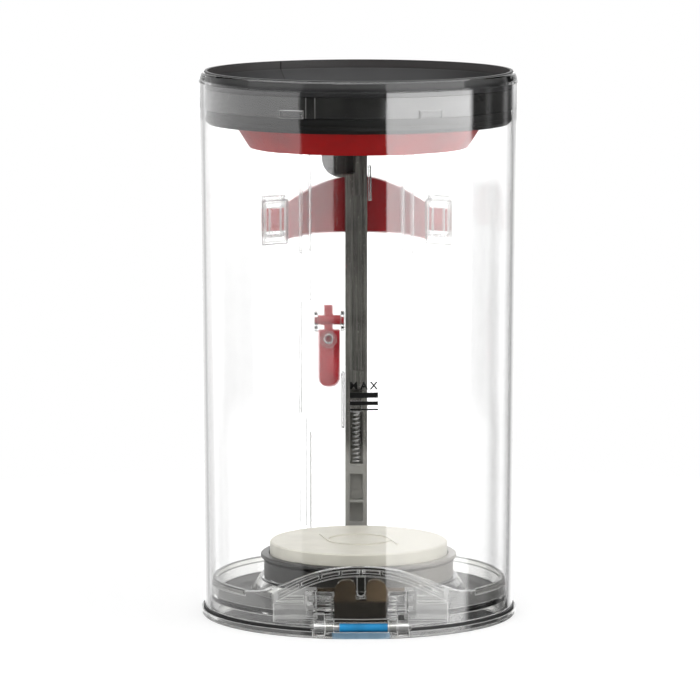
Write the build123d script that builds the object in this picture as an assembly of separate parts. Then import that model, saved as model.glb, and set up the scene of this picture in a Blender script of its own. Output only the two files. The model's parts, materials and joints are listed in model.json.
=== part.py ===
from build123d import *
import os
from math import cos, radians, sin, sqrt

# Clear dust bin of a cordless stick vacuum, in millimetres.
# Z is up and is the bin's axis. The bin stands on its closed base door at Z = 0.
# The door's hinge is at the front (-Y). The rails, rod and latch are at the back (+Y).

# Driving sizes: radius under the rim, and height of the rim
TUBE_R = 58.3
TUBE_H = 200.0

# Clear tube, drafted so that it leaves its mould upwards
TUBE_DRAFT = 1.45
TUBE_WALL = 1.8
RIM_H = 3.6
RIM_PROUD = 0.2
RIM_LEAN = 0.9
RIM_CHAMFER = 0.5

# Clearances, and how far a moulded feature is rooted in its carrier
PIN_GAP = 0.05
SLIDE_GAP = 0.4
SNAP_GAP = 0.2
SWING_GAP = 0.4
SEAT_GAP = 0.3
ROOT = 0.5
BACK_ROOT = 12.0

# Base door
FLANGE_PROUD = 1.15
FLANGE_T = 2.5
FLANGE_CHAMFER = 0.4
GASKET_T = 0.8
GASKET_PROUD = 0.5
GASKET_INSET = 0.6
FOOT_RING_W = 6.0
FOOT_DRAFT = 0.5
DOOR_T = 2.2
DOOR_RING_T = 2.0
DOOR_RING_TOP_Z = 12.2
DOOR_RING_SIDE_GAP = 0.7
LIP_SEAL_H = 2.0
LIP_SEAL_INSET = 0.35
LIP_SEAL_CHAMFER = 0.5
FLOOR_Z = 8.4
BOSS_LEDGE = 1.4
BOSS_TOP_Z = 14.0
BOSS_FLARE = 3.2
BOSS_FLARE_Z = 9.2
KEEPER_DEPTH = 3.0
KEEPER_H = 1.9

# Arched pocket over the hinge, part of the door
ARCH_TOP_Z = 25.9
ARCH_SHOULDER_X = 24.0
ARCH_SHOULDER_Z = 20.0
ARCH_FOOT_X = 41.0
ARCH_FOOT_Z = 13.8
ARCH_DIP = 1.0
ARCH_FALL = 0.2
ARCH_T = 3.2
ARCH_SKIN = 1.0
ARCH_RIB_T = 1.0
ARCH_RIB_PITCH = 7.2
ARCH_RIBS = 4
POCKET_HALF_W = 31.0
POCKET_DEPTH = 10.8
POCKET_FLOOR_Z = 4.4
POCKET_RIB_Z = 11.0
POCKET_RIB_PITCH = 2.0
POCKET_RIB_T = 0.8
POCKET_RIB_DEPTH = 2.4
TONGUE_HALF_W = 1.5
TONGUE_T = 2.8
TONGUE_END_Z = 15.0

# Door hinge
HINGE_INSET = 2.05
HINGE_Z = 3.8
HINGE_PIN_R = 1.2
HINGE_BARREL_R = 2.6
HINGE_FACE = 2.5
SLEEVE_R = 1.5
SLEEVE_HALF_W = 9.5
SLEEVE_SHORT = 1.7
KNUCKLE_W = 3.1
LUG_W = 3.8
LUG_NECK_T = 3.0
LUG_NECK_H = 5.2
LUG_NECK_SHIFT = 0.8
POST_W = 3.8
POST_LAP = 1.2
POST_DEPTH = 6.2
POST_FOOT_RISE = 3.2
POST_TOP_Z = 16.6
POST_WALL = 1.0
POST_CELL_Z = 9.2
POST_CELL_H = 2.2
POST_CELL_PITCH = 3.6
SHELF_Z = 15.4
SHELF_T = 1.2
SHIELD_TOP_Z = 21.0
SHIELD_STEP_Z = 13.2
SHIELD_STEP_T = 1.4
SHIELD_T = 3.2
SHIELD_INSET = 0.8
SHIELD_OUTER_ROUND = 4.4
SHIELD_INNER_ROUND = 2.6
SHIELD_TAB_T = 1.6
SHIELD_TAB_H = 1.2
KICK_SPRING_R = 1.1
KICK_SPRING_BACK = 4.2
KICK_BOSS_H = 1.9

# Pedestal on the door
CUP_SHARE = 0.6
CUP_WALL = 1.8
CUP_LIP_PROUD = 1.2
CUP_LIP_Z = 22.3
CUP_LIP_H = 1.2
CUP_LIP_ROUND = 0.4
DISC_INSET = 2.2
DISC_TOP_Z = 26.8
DISC_T = 2.2
DISC_CHAMFER = 0.5
SWIRL_R = 11.5
SWIRL_W = 0.7
SWIRL_H = 0.4
SWIRL_SPOKE = 14.0
SWIRL_TURN = 12.0

# Collar in the mouth, from the rim down
MOUTH_LIP_RISE = 0.4
MOUTH_LIP_T = 1.0
MOUTH_SEAT = 1.0
MOUTH_HEEL = 2.0
CARRIER_DROP = 13.1
CARRIER_T = 1.4
HOOK_W = 7.6
HOOK_H = 1.6
HOOK_ROOM = 0.6
HOOK_SUNK = 1.1
HOOK_TURN = 25.6
FUNNEL_T = 1.5
FUNNEL_SLANT = 1.17
THROAT_INSET = 13.7
SKIRT_H = 5.5
SKIRT_STEP_H = 2.8
SKIRT_CHAMFER = 1.4
SKIRT_STEP = 0.4
WIPER_H = 8.8
WIPER_PROUD = 1.0
WIPER_TOP_T = 2.4
WIPER_TAPER = 5.55
WIPER_LIP_W = 2.55
WIPER_LIP_H = 3.0
WIPER_LIP_STEP = 1.0

# Rails and ribs on the back of the tube, the rails interrupted beside the latch
RAIL_X = 17.3
RAIL_FLANGE_X = 22.0
RAIL_T = 1.7
RAIL_PROUD = 0.1
RAIL_TOP_DROP = 72.2
RAIL_FOOT_Z = 22.0
RAIL_GATE_RISE = 7.9
RAIL_LEAD_DROP = 8.8
RAIL_LEAD_H = 8.4
RAIL_LEAD_W = 2.7
RIB_T = 1.1
RAIL_CHAMFER = 0.5
RIB_CHAMFER = 0.4
RIB_TOP_DROP = 20.0
RIB_PROUD = 2.2
RIB_SUNK = 2.0

# Release rod
ROD_STANDOFF = 0.6
ROD_HALF_W = 4.2
ROD_T = 5.0
ROD_FOOT_Z = 20.5
ROD_TOP_DROP = 28.0
ROD_HEAD_X = -13.5
ROD_HEAD_H = 16.3
ROD_HEAD_T = 3.0
ROD_HEAD_ROUND = 7.4
ROD_HEAD_SHIFT = 0.5
ROD_SLOT_HALF_W = 2.5
ROD_SLOT_BACK = 1.3
ROD_SLOT_RISE = 25.7
ROD_SLOT_H = 28.9
ROD_BAR = 3.8
ROD_POCKET_HEIGHTS = (10.0, 7.2)
ROD_POCKET_WEB = 1.2
ROD_POCKET_DEPTH = 3.0
ROD_GROOVE_HALF_W = 1.6
ROD_GROOVE_DEPTH = 1.2
ROD_GROOVE_END = 6.9
ROD_LINE_X = (2.2, 2.9)
ROD_LINE_DEPTH = 0.7
ROD_WINDOW_X = (-3.7, -0.5)
ROD_WINDOW_DEPTH = 2.6
ROD_WINDOW_RISE = 1.6
GUIDE_INSET = 0.6
GUIDE_LAP = 4.3
GUIDE_H = 13.0
GUIDE_LOW_H = 21.5
SPRING_LUG_DROP = 8.6
SPRING_LUG_H = 4.0
ROD_SPRING_R = 1.25
ROD_SPRING_TURNS = 12
WEDGE_SLOPE = 0.15
WEDGE_FOOT_Z = 3.5
WEDGE_OUT = 1.5
WEDGE_IN = 0.5
WEDGE_RAMP_H = 2.0
WEDGE_SIDE = 1.0

# Saddle strap over the rod
SADDLE_T = 1.8
SADDLE_LIFT = 4.9
SADDLE_H = 23.1
SADDLE_SAG = 1.6
SADDLE_END_H = 13.7
SADDLE_END_X = 27.4
SADDLE_SHOULDER_DROP = 4.3
SADDLE_BEND_R = 2.2
SADDLE_CLEAR = 0.6
TONGUE_INSET = 1.6
TONGUE_RISE = 3.7
CLIP_ANGLE = 32.5
CLIP_STANDOFF = 1.5
CLIP_W = 9.4
CLIP_WALL = 1.2
CLIP_ROOT = 8.0
CLIP_CHAMFER = 0.8
CLIP_PORT_W = 3.4
CLIP_PORT_H = 3.6
CLIP_PORT_DROP = 2.0
CLIP_FOOT_H = 5.0
CLIP_HEAD_H = 2.2

# Runner latch
LATCH_PIVOT_DROP = 26.7
LATCH_PIVOT_OUT = 3.3
LATCH_PIVOT_R = 1.9
LATCH_X = (-14.6, -6.3)
LATCH_NECK_X = (-12.5, -9.0)
LATCH_DROP = 25.7
LATCH_NECK_DROP = 3.7
LATCH_RISE = 5.7
LATCH_HOOK_H = 3.0
LATCH_HOOK_TIP = 0.6
LATCH_HOOK_OUT = 1.6
LATCH_T = 2.5
LATCH_FLARE = 1.8
LATCH_TOE_R = 3.6
LATCH_STUB_INSET = 0.1
EAR_T = 1.3
EAR_RING = 1.4
EAR_NECK_H = 7.4
BOSS_DROP = 6.9
BOSS_PROUD = 0.3
LATCH_BOSS_R = 3.1
LATCH_SPRING_R = 1.5
LATCH_SPRING_TURNS = 3
LATCH_SPRING_FOOT_GAP = 0.1
LATCH_SPRING_TOP_GAP = 0.2

# Catch at the foot of the rod
CATCH_HALF_W = 6.2
CATCH_PIVOT_Z = 17.0
CATCH_PIVOT_OUT = 3.3
CATCH_PIN_R = 1.2
CATCH_BARREL_R = 2.2
CATCH_HALF_T = 1.0
CATCH_FOOT_Z = 0.5
CATCH_NOSE_H = 1.2
CATCH_NOSE_RISE = 0.4
CATCH_PAD_TOP_Z = 12.8
CATCH_PAD_STEP = 0.8
CATCH_PAD_GAP = 0.5
CATCH_SIDE = 0.6
CATCH_EAR_T = 2.0
CATCH_EAR_RING = 1.7
CATCH_EAR_NECK_H = 6.4
CATCH_SPRING_OUT = 0.75
CATCH_SPRING_ROOM = 0.8
CATCH_SPRING_TURNS = 5

# Spring wire, drawn square with a few straight runs to each turn
WIRE = 0.55
COIL_SIDES = 8
KICK_SPRING_TURNS = 6

# Heights, radii and places that follow from the sizes above
TUBE_FOOT_R = TUBE_R - TUBE_DRAFT
TUBE_FOOT_Z = FLANGE_T + GASKET_T + SEAT_GAP
RIM_Z = TUBE_H - RIM_H

FLANGE_R = TUBE_FOOT_R + FLANGE_PROUD
DOOR_RING_R = TUBE_FOOT_R - TUBE_WALL - DOOR_RING_SIDE_GAP
DOOR_RING_IN_R = DOOR_RING_R - DOOR_RING_T
LIP_SEAL_R = DOOR_RING_R - LIP_SEAL_INSET

HINGE_Y = HINGE_INSET - TUBE_FOOT_R
POCKET_BACK_Y = HINGE_Y + POCKET_DEPTH
POST_BACK_Y = HINGE_Y + POST_DEPTH
KNUCKLE_X = SLEEVE_HALF_W + SEAT_GAP
LUG_X = KNUCKLE_X + KNUCKLE_W + SEAT_GAP
LUG_END_X = LUG_X + LUG_W
POST_X = LUG_END_X - POST_LAP
SHIELD_HALF_W = SLEEVE_HALF_W
SHELF_X = SHIELD_HALF_W + SEAT_GAP
KICK_SPRING_X = KNUCKLE_X + KNUCKLE_W / 2
KICK_SPRING_Y = HINGE_Y + KICK_SPRING_BACK

CUP_R = CUP_SHARE * TUBE_R
BOSS_R = CUP_R + BOSS_LEDGE
CUP_LIP_R = CUP_R + CUP_LIP_PROUD
DISC_R = CUP_R - DISC_INSET
CUP_FLOOR_Z = BOSS_TOP_Z + CUP_WALL

CARRIER_Z = TUBE_H - CARRIER_DROP
HOOK_ANGLES = (HOOK_TURN, 90, 180 - HOOK_TURN, 180 + HOOK_TURN, 270, -HOOK_TURN)
FUNNEL_FOOT_Z = CARRIER_Z - SKIRT_H
THROAT_R = TUBE_R - THROAT_INSET
WIPER_FOOT_Z = FUNNEL_FOOT_Z - WIPER_H

ROD_IN_Y = TUBE_R + ROD_STANDOFF
ROD_OUT_Y = ROD_IN_Y + ROD_T
ROD_TOP_Z = TUBE_H - ROD_TOP_DROP
ROD_HEAD_Z = ROD_TOP_Z - ROD_HEAD_H
ROD_SLOT_Z = (ROD_FOOT_Z + ROD_SLOT_RISE, ROD_FOOT_Z + ROD_SLOT_RISE + ROD_SLOT_H)
ROD_SLOT_Y = ROD_OUT_Y - ROD_SLOT_BACK
SPRING_LUG_FOOT_Z = ROD_SLOT_Z[1] - SPRING_LUG_DROP
SPRING_LUG_Z = (SPRING_LUG_FOOT_Z, SPRING_LUG_FOOT_Z + SPRING_LUG_H)
WEDGE_OUT_Y = ROD_IN_Y + WEDGE_OUT

RAIL_OUT_Y = ROD_OUT_Y + RAIL_PROUD
RAIL_TOP_Z = TUBE_H - RAIL_TOP_DROP
BACK_Y = TUBE_FOOT_R - BACK_ROOT

SADDLE_FOOT_Z = RAIL_TOP_Z + SADDLE_LIFT
SADDLE_END_Z = SADDLE_FOOT_Z + SADDLE_END_H
SADDLE_TOP_Z = SADDLE_FOOT_Z + SADDLE_H
SADDLE_CROWN_Y = ROD_OUT_Y + SADDLE_CLEAR + SADDLE_T / 2
TONGUE_Z = (SADDLE_FOOT_Z + TONGUE_RISE, SADDLE_END_Z - TONGUE_INSET)
CLIP_Z = (TONGUE_Z[0] + TONGUE_Z[1]) / 2

LATCH_PIVOT_Y = TUBE_R + LATCH_PIVOT_OUT
LATCH_PIVOT_Z = RAIL_TOP_Z - LATCH_PIVOT_DROP
LATCH_FOOT_Z = LATCH_PIVOT_Z - LATCH_DROP
LATCH_PADDLE_Z = LATCH_PIVOT_Z - LATCH_NECK_DROP
LATCH_TOP_Z = LATCH_PIVOT_Z + LATCH_RISE
LATCH_IN_Y = LATCH_PIVOT_Y - LATCH_T / 2
LATCH_BOSS_X = sum(LATCH_NECK_X) / 2
LATCH_BOSS_Z = LATCH_PIVOT_Z - BOSS_DROP
EARS_X = (LATCH_X[0] - SEAT_GAP - EAR_T, LATCH_X[1] + SEAT_GAP)

CATCH_PIVOT_Y = ROD_IN_Y + CATCH_PIVOT_OUT
CATCH_END_X = CATCH_HALF_W + SLIDE_GAP + CATCH_EAR_T


def tube_outer(z):
    """Outer radius of the drafted tube at height z."""
    return TUBE_FOOT_R + TUBE_DRAFT * (z - TUBE_FOOT_Z) / (RIM_Z - TUBE_FOOT_Z)


def tube_inner(z):
    """Radius at height z that a snapped-in piece may fill."""
    return tube_outer(z) - TUBE_WALL - SNAP_GAP


def turned(*outline):
    """Solid turned about the bin's axis from a closed (radius, height) outline."""
    return revolve(Plane.XZ * make_face(Polyline(*outline, close=True)), Axis.Z)


def block(x, y, z):
    """Straight block between two limits on each axis."""
    size = Box(x[1] - x[0], y[1] - y[0], z[1] - z[0])
    return Pos((x[0] + x[1]) / 2, (y[0] + y[1]) / 2, (z[0] + z[1]) / 2) * size


def across(profile, x0, x1):
    """Side profile, drawn as (y, z), carried across from x0 to x1."""
    return extrude(Pos(x0, 0, 0) * (Plane.YZ * profile), x1 - x0)


def along_y(profile, y0, y1):
    """Front profile, drawn as (x, z), carried back from y0 to y1."""
    return extrude(Pos(0, y1, 0) * (Plane.XZ * profile), y1 - y0)


def pin(x0, x1, y, z, radius):
    """Round pin parallel to X."""
    return across(Pos(y, z) * Circle(radius), x0, x1)


def both_sides(shape):
    """The shape with its mirror image on the other side of the bin."""
    return shape + mirror(shape, about=Plane.YZ)


def coil(radius, length, turns):
    """Spring of square wire standing on the origin."""
    runs = turns * COIL_SIDES
    rise = (length - WIRE) / runs
    corners = []
    for k in range(runs + 1):
        angle = radians(360 * k / COIL_SIDES)
        corners.append((radius * cos(angle), radius * sin(angle), WIRE / 2 + rise * k))
    path = Polyline(*corners)
    section = Plane(path @ 0, z_dir=path % 0) * Rectangle(WIRE, WIRE)
    return sweep(section, path, transition=Transition.RIGHT)


def pivot_ear(y, z, bore, ring, neck_h):
    """Side profile of an ear that carries a pin at (y, z) and is rooted in the tube's back."""
    ear = Pos(y, z) * Circle(bore + ring)
    ear += Pos((BACK_Y + y) / 2, z) * Rectangle(y - BACK_Y, neck_h)
    return ear - Pos(y, z) * Circle(bore)


def rib(x, y, z):
    """Upright rib on the tube's back, its long edges chamfered."""
    body = block(x, y, z)
    return chamfer(body.edges().filter_by(Axis.Z), RIB_CHAMFER)


def rail_run(z0, z1):
    """One run of the right-hand rail, an L in plan whose lip turns outwards."""
    lip_y = RAIL_OUT_Y - RAIL_T
    plan = Polyline(
        (RAIL_X, BACK_Y),
        (RAIL_X, RAIL_OUT_Y),
        (RAIL_FLANGE_X, RAIL_OUT_Y),
        (RAIL_FLANGE_X, lip_y),
        (RAIL_X + RAIL_T, lip_y),
        (RAIL_X + RAIL_T, BACK_Y),
        close=True,
    )
    run = extrude(Pos(0, 0, z0) * make_face(plan), z1 - z0)
    return chamfer(run.edges().filter_by(Axis.Z), RAIL_CHAMFER)


def rails():
    """Both rails with the thin ribs above them. The left one stops beside the latch."""
    gate_foot = LATCH_FOOT_Z - RAIL_LEAD_DROP
    gate_top = LATCH_PIVOT_Z + RAIL_GATE_RISE
    lead = Polyline(
        (RAIL_X, gate_foot - RAIL_LEAD_H),
        (RAIL_X + RAIL_LEAD_W, gate_foot),
        (RAIL_X, gate_foot),
        close=True,
    )
    lower = rail_run(RAIL_FOOT_Z, gate_foot) - along_y(make_face(lead), BACK_Y, RAIL_OUT_Y)
    rib_z = (RAIL_TOP_Z - ROOT, TUBE_H - RIB_TOP_DROP)
    inner_rib = rib((RAIL_X, RAIL_X + RIB_T), (BACK_Y, TUBE_R + RIB_PROUD), rib_z)
    low_rib_x = (RAIL_FLANGE_X - RIB_T, RAIL_FLANGE_X)
    outer_rib = rib(low_rib_x, (BACK_Y, TUBE_R - RIB_SUNK), rib_z)
    gate_rib = rib(low_rib_x, (BACK_Y, TUBE_R - RIB_SUNK), (gate_foot, gate_top))
    right = rail_run(RAIL_FOOT_Z, RAIL_TOP_Z)
    left = lower + gate_rib + rail_run(gate_top, RAIL_TOP_Z)
    return both_sides(inner_rib + outer_rib) + right + mirror(left, about=Plane.YZ)


def rod_guides():
    """Ribs beside the rod and the lug inside its slot that its spring pushes on."""
    near = ROD_HALF_W + SLIDE_GAP
    rib_y = (BACK_Y, ROD_OUT_Y - GUIDE_INSET)
    high_top = ROD_HEAD_Z + GUIDE_LAP
    low_foot = SPRING_LUG_Z[0] - GUIDE_H / 2
    guides = rib((near, near + RIB_T), rib_y, (high_top - GUIDE_H, high_top))
    guides += rib((-near - RIB_T, -near), rib_y, (low_foot, low_foot + GUIDE_LOW_H))
    lug_x = ROD_SLOT_HALF_W - SLIDE_GAP
    return guides + block((-lug_x, lug_x), (BACK_Y, ROD_SLOT_Y - SLIDE_GAP), SPRING_LUG_Z)


def latch_mount():
    """Two ears for the latch's stubs and the ring that holds its spring."""
    ear = pivot_ear(LATCH_PIVOT_Y, LATCH_PIVOT_Z, LATCH_PIVOT_R + PIN_GAP, EAR_RING, EAR_NECK_H)
    ring = Circle(LATCH_BOSS_R) - Circle(LATCH_SPRING_R + WIRE + SLIDE_GAP)
    mount = along_y(Pos(LATCH_BOSS_X, LATCH_BOSS_Z) * ring, BACK_Y, TUBE_R + BOSS_PROUD)
    for x in EARS_X:
        mount += across(ear, x, x + EAR_T)
    return mount


def catch_mount():
    """Two ears that hold the catch's pin."""
    ear = pivot_ear(CATCH_PIVOT_Y, CATCH_PIVOT_Z, CATCH_PIN_R, CATCH_EAR_RING, CATCH_EAR_NECK_H)
    return both_sides(across(ear, CATCH_END_X - CATCH_EAR_T, CATCH_END_X))


def clip_plane():
    """Plane of the right-hand saddle clip: X along the tube's wall, Y up, Z outwards."""
    turn = radians(CLIP_ANGLE)
    reach = tube_outer(CLIP_Z) + CLIP_STANDOFF
    return Plane(
        (reach * sin(turn), reach * cos(turn), CLIP_Z),
        x_dir=(cos(turn), -sin(turn), 0),
        z_dir=(sin(turn), cos(turn), 0),
    )


def clip_housing():
    """Closed blocks on the tube that become the two saddle clips."""
    tall = TONGUE_Z[1] - TONGUE_Z[0] + CLIP_HEAD_H + CLIP_FOOT_H
    depth = SADDLE_T / 2 + SEAT_GAP + CLIP_WALL
    middle = ((CLIP_HEAD_H - CLIP_FOOT_H) / 2, (depth - CLIP_ROOT) / 2)
    housing = Pos(0, *middle) * Box(CLIP_W, tall, depth + CLIP_ROOT)
    housing = chamfer(housing.faces().sort_by(Axis.Z)[-1].edges(), CLIP_CHAMFER)
    return both_sides(clip_plane() * housing)


def clip_slots():
    """Room in each clip for the saddle's tongue, with a small port through the outer wall."""
    room = SADDLE_T + 2 * SEAT_GAP
    tall = TONGUE_Z[1] - TONGUE_Z[0] + 2 * SEAT_GAP
    slot = Pos(-2 * CLIP_WALL, 0, 0) * Box(CLIP_W + 4 * CLIP_WALL, tall, room)
    port = Box(CLIP_PORT_W, CLIP_PORT_H, 2 * CLIP_WALL)
    slot += Pos(-CLIP_WALL, -tall / 2 - CLIP_PORT_DROP, room / 2 + CLIP_WALL) * port
    return both_sides(clip_plane() * slot)


def hinge_posts():
    """Posts with moulded cells and the shelves between them, inside the tube's foot."""
    post_x = (POST_X, POST_X + POST_W)
    post = block(post_x, (-TUBE_R, POST_BACK_Y), (HINGE_Z + POST_FOOT_RISE, POST_TOP_Z))
    cell_x = (POST_X + POST_WALL, POST_X + POST_W - POST_WALL)
    for cell_z in (POST_CELL_Z, POST_CELL_Z + POST_CELL_PITCH):
        post -= block(cell_x, (-TUBE_R, 0), (cell_z, cell_z + POST_CELL_H))
    shelf_y = (-TUBE_R, POST_BACK_Y - SWING_GAP)
    post += block((SHELF_X, POST_X + ROOT), shelf_y, (SHELF_Z, SHELF_Z + SHELF_T))
    core = turned(
        (0, TUBE_FOOT_Z),
        (TUBE_FOOT_R - TUBE_WALL / 2, TUBE_FOOT_Z),
        (TUBE_R - TUBE_WALL / 2, RIM_Z),
        (0, RIM_Z),
    )
    return both_sides(post & core)


def bin_tube():
    """Clear tube with its rails, guides, ears, clips and hinge posts, one moulding."""
    rim_r = TUBE_R + RIM_PROUD
    outside = turned(
        (0, TUBE_FOOT_Z),
        (TUBE_FOOT_R, TUBE_FOOT_Z),
        (TUBE_R, RIM_Z),
        (rim_r, RIM_Z),
        (rim_r - RIM_LEAN, TUBE_H - RIM_CHAMFER),
        (rim_r - RIM_LEAN - RIM_CHAMFER, TUBE_H),
        (0, TUBE_H),
    )
    bore = turned(
        (0, 0),
        (TUBE_FOOT_R - TUBE_WALL, 0),
        (TUBE_FOOT_R - TUBE_WALL, TUBE_FOOT_Z),
        (TUBE_R - TUBE_WALL, RIM_Z),
        (TUBE_R - TUBE_WALL, TUBE_H),
        (0, TUBE_H),
    )
    tube = outside + rails() + rod_guides() + latch_mount() + catch_mount() + clip_housing()
    tube = tube - bore - clip_slots() + hinge_posts()

    notch_x = LUG_X - SEAT_GAP / 2
    notch_top = HINGE_Z + HINGE_BARREL_R + SWING_GAP + SNAP_GAP
    tube -= block((-notch_x, notch_x), (-TUBE_R, POST_BACK_Y), (0, notch_top))
    lug = Pos(HINGE_Y, HINGE_Z) * Circle(HINGE_BARREL_R)
    neck = Pos(HINGE_Y + LUG_NECK_SHIFT, HINGE_Z + LUG_NECK_H / 2)
    lug += neck * Rectangle(LUG_NECK_T, LUG_NECK_H)
    tube += both_sides(across(lug, LUG_X, LUG_END_X))
    tube -= pin(-TUBE_R, TUBE_R, HINGE_Y, HINGE_Z, HINGE_PIN_R)

    hook_z = CARRIER_Z + HOOK_H / 2 + HOOK_ROOM
    dent = Box(HOOK_W + 2 * HOOK_ROOM, 2 * HOOK_SUNK, HOOK_H + 2 * HOOK_ROOM)
    dent = Pos(0, TUBE_WALL - tube_outer(CARRIER_Z), hook_z) * dent
    for angle in HOOK_ANGLES:
        tube -= Rot(0, 0, angle) * dent
    return tube


def collar_carrier():
    """Black ring with one hook for each dent inside the tube's wall."""
    outer = tube_inner(CARRIER_Z)
    inner = outer - CARRIER_T
    top = RIM_Z - MOUTH_HEEL
    ring = turned((inner, CARRIER_Z), (outer, CARRIER_Z), (outer, top), (inner, top))
    hook_y = (SNAP_GAP - HOOK_SUNK - outer, CARRIER_T / 2 - outer)
    hook_foot = CARRIER_Z + HOOK_ROOM
    hook = block((-HOOK_W / 2, HOOK_W / 2), hook_y, (hook_foot, hook_foot + HOOK_H))
    for angle in HOOK_ANGLES:
        ring += Rot(0, 0, angle) * hook
    return ring


def collar_funnel():
    """Soft funnel: mouth lip above, cone inside the carrier, folded skirt below."""
    lip_top = TUBE_H + MOUTH_LIP_RISE
    lip_out = TUBE_R - TUBE_WALL - SNAP_GAP
    lip_in = lip_out - MOUTH_LIP_T
    lip_foot = RIM_Z - MOUTH_HEEL + SNAP_GAP
    skirt_out = tube_inner(FUNNEL_FOOT_Z)
    skirt_top = CARRIER_Z - SNAP_GAP
    fold_z = FUNNEL_FOOT_Z + FUNNEL_T
    cone_out = tube_inner(CARRIER_Z) - CARRIER_T - SEAT_GAP
    return turned(
        (lip_in, lip_top),
        (lip_in, RIM_Z + MOUTH_SEAT),
        (THROAT_R, fold_z),
        (THROAT_R, FUNNEL_FOOT_Z),
        (skirt_out - SKIRT_CHAMFER, FUNNEL_FOOT_Z),
        (skirt_out, FUNNEL_FOOT_Z + SKIRT_CHAMFER),
        (skirt_out, FUNNEL_FOOT_Z + SKIRT_STEP_H),
        (skirt_out - SKIRT_STEP, FUNNEL_FOOT_Z + SKIRT_STEP_H),
        (skirt_out - SKIRT_STEP, skirt_top),
        (skirt_out - FUNNEL_T, skirt_top),
        (skirt_out - FUNNEL_T, fold_z),
        (THROAT_R + FUNNEL_T * FUNNEL_SLANT, fold_z),
        (cone_out, lip_foot),
        (lip_out, lip_foot),
        (lip_out, lip_top),
    )


def wiper_ring():
    """Red tapered ring that hangs under the funnel and wipes the shroud."""
    top_r = THROAT_R + WIPER_PROUD
    foot_r = top_r - WIPER_TAPER
    bore_r = foot_r - WIPER_LIP_W
    lip_z = WIPER_FOOT_Z + WIPER_LIP_H
    return turned(
        (top_r, FUNNEL_FOOT_Z),
        (foot_r, WIPER_FOOT_Z),
        (bore_r, WIPER_FOOT_Z),
        (bore_r, lip_z),
        (bore_r + WIPER_LIP_STEP, lip_z),
        (top_r - WIPER_TOP_T, FUNNEL_FOOT_Z),
    )


def arch(drop, half_width):
    """Front profile under the hinge arch, lowered by drop and cut off at half_width."""
    bow_x = ARCH_SHOULDER_X * 0.58
    bow_z = ARCH_SHOULDER_Z + (ARCH_TOP_Z - ARCH_SHOULDER_Z) * 0.7
    side_x = (ARCH_SHOULDER_X + ARCH_FOOT_X) / 2
    side_z = (ARCH_SHOULDER_Z + ARCH_FOOT_Z) / 2 - ARCH_DIP
    right = (
        (bow_x, bow_z),
        (ARCH_SHOULDER_X, ARCH_SHOULDER_Z),
        (side_x, side_z),
        (ARCH_FOOT_X, ARCH_FOOT_Z),
    )
    left = tuple((-x, z) for x, z in reversed(right))
    crest = Spline(*left, (0, ARCH_TOP_Z), *right, tangents=((1, 0.15), (1, -0.15)))
    foot = Polyline(
        (ARCH_FOOT_X, ARCH_FOOT_Z),
        (ARCH_FOOT_X, FLANGE_T),
        (-ARCH_FOOT_X, FLANGE_T),
        (-ARCH_FOOT_X, ARCH_FOOT_Z),
    )
    under = Pos(0, -drop) * make_face([crest, foot])
    return under & (Pos(0, ARCH_TOP_Z / 2) * Rectangle(2 * half_width, ARCH_TOP_Z))


def falling_back(profile, y1, foot_z):
    """Arch profile carried back from the flange to y1, lower and lower, above foot_z."""
    run = y1 + FLANGE_R
    fall = run * ARCH_FALL
    lift = (FLANGE_R - DOOR_RING_R) * ARCH_FALL
    start = Pos(0, -FLANGE_R, lift) * (Plane.XZ * profile)
    body = extrude(start, sqrt(run**2 + fall**2), dir=(0, run, -fall))
    return body & block((-FLANGE_R, FLANGE_R), (-FLANGE_R, y1), (foot_z, TUBE_H))


def hinge_pocket():
    """Arched wall over the hinge: the solid to add, then the room and roof cells to cut."""
    front = -FLANGE_R
    inside_ring = turned((0, 0), (DOOR_RING_R, 0), (DOOR_RING_R, TUBE_H), (0, TUBE_H))
    hump_back = POCKET_BACK_Y + DOOR_RING_T
    hump = falling_back(arch(0, ARCH_FOOT_X), hump_back, FLANGE_T) & inside_ring
    ring_wall = inside_ring - extrude(Circle(DOOR_RING_IN_R), TUBE_H)
    hump += along_y(arch(0, ARCH_FOOT_X), front, 0) & ring_wall
    room = falling_back(arch(ARCH_T, POCKET_HALF_W), POCKET_BACK_Y, POCKET_FLOOR_Z)
    roof = arch(ARCH_SKIN, POCKET_HALF_W) - arch(ARCH_T - ARCH_SKIN, POCKET_HALF_W)
    cells = falling_back(roof, POCKET_BACK_Y - DOOR_RING_T, POCKET_FLOOR_Z)
    for k in range(ARCH_RIBS):
        rib_x = (k * ARCH_RIB_PITCH - ARCH_RIB_T / 2, k * ARCH_RIB_PITCH + ARCH_RIB_T / 2)
        cells -= both_sides(block(rib_x, (front, 0), (0, ARCH_TOP_Z)))

    rib_x = (POST_X + POST_W + 2 * SWING_GAP, POCKET_HALF_W + ROOT)
    rib_y = (POCKET_BACK_Y - POCKET_RIB_DEPTH, POCKET_BACK_Y + ROOT)
    ribs = Part()
    for rib_z in (POCKET_RIB_Z, POCKET_RIB_Z + POCKET_RIB_PITCH):
        ribs += both_sides(block(rib_x, rib_y, (rib_z, rib_z + POCKET_RIB_T)) & inside_ring)
    return hump, room + cells, ribs


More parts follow.
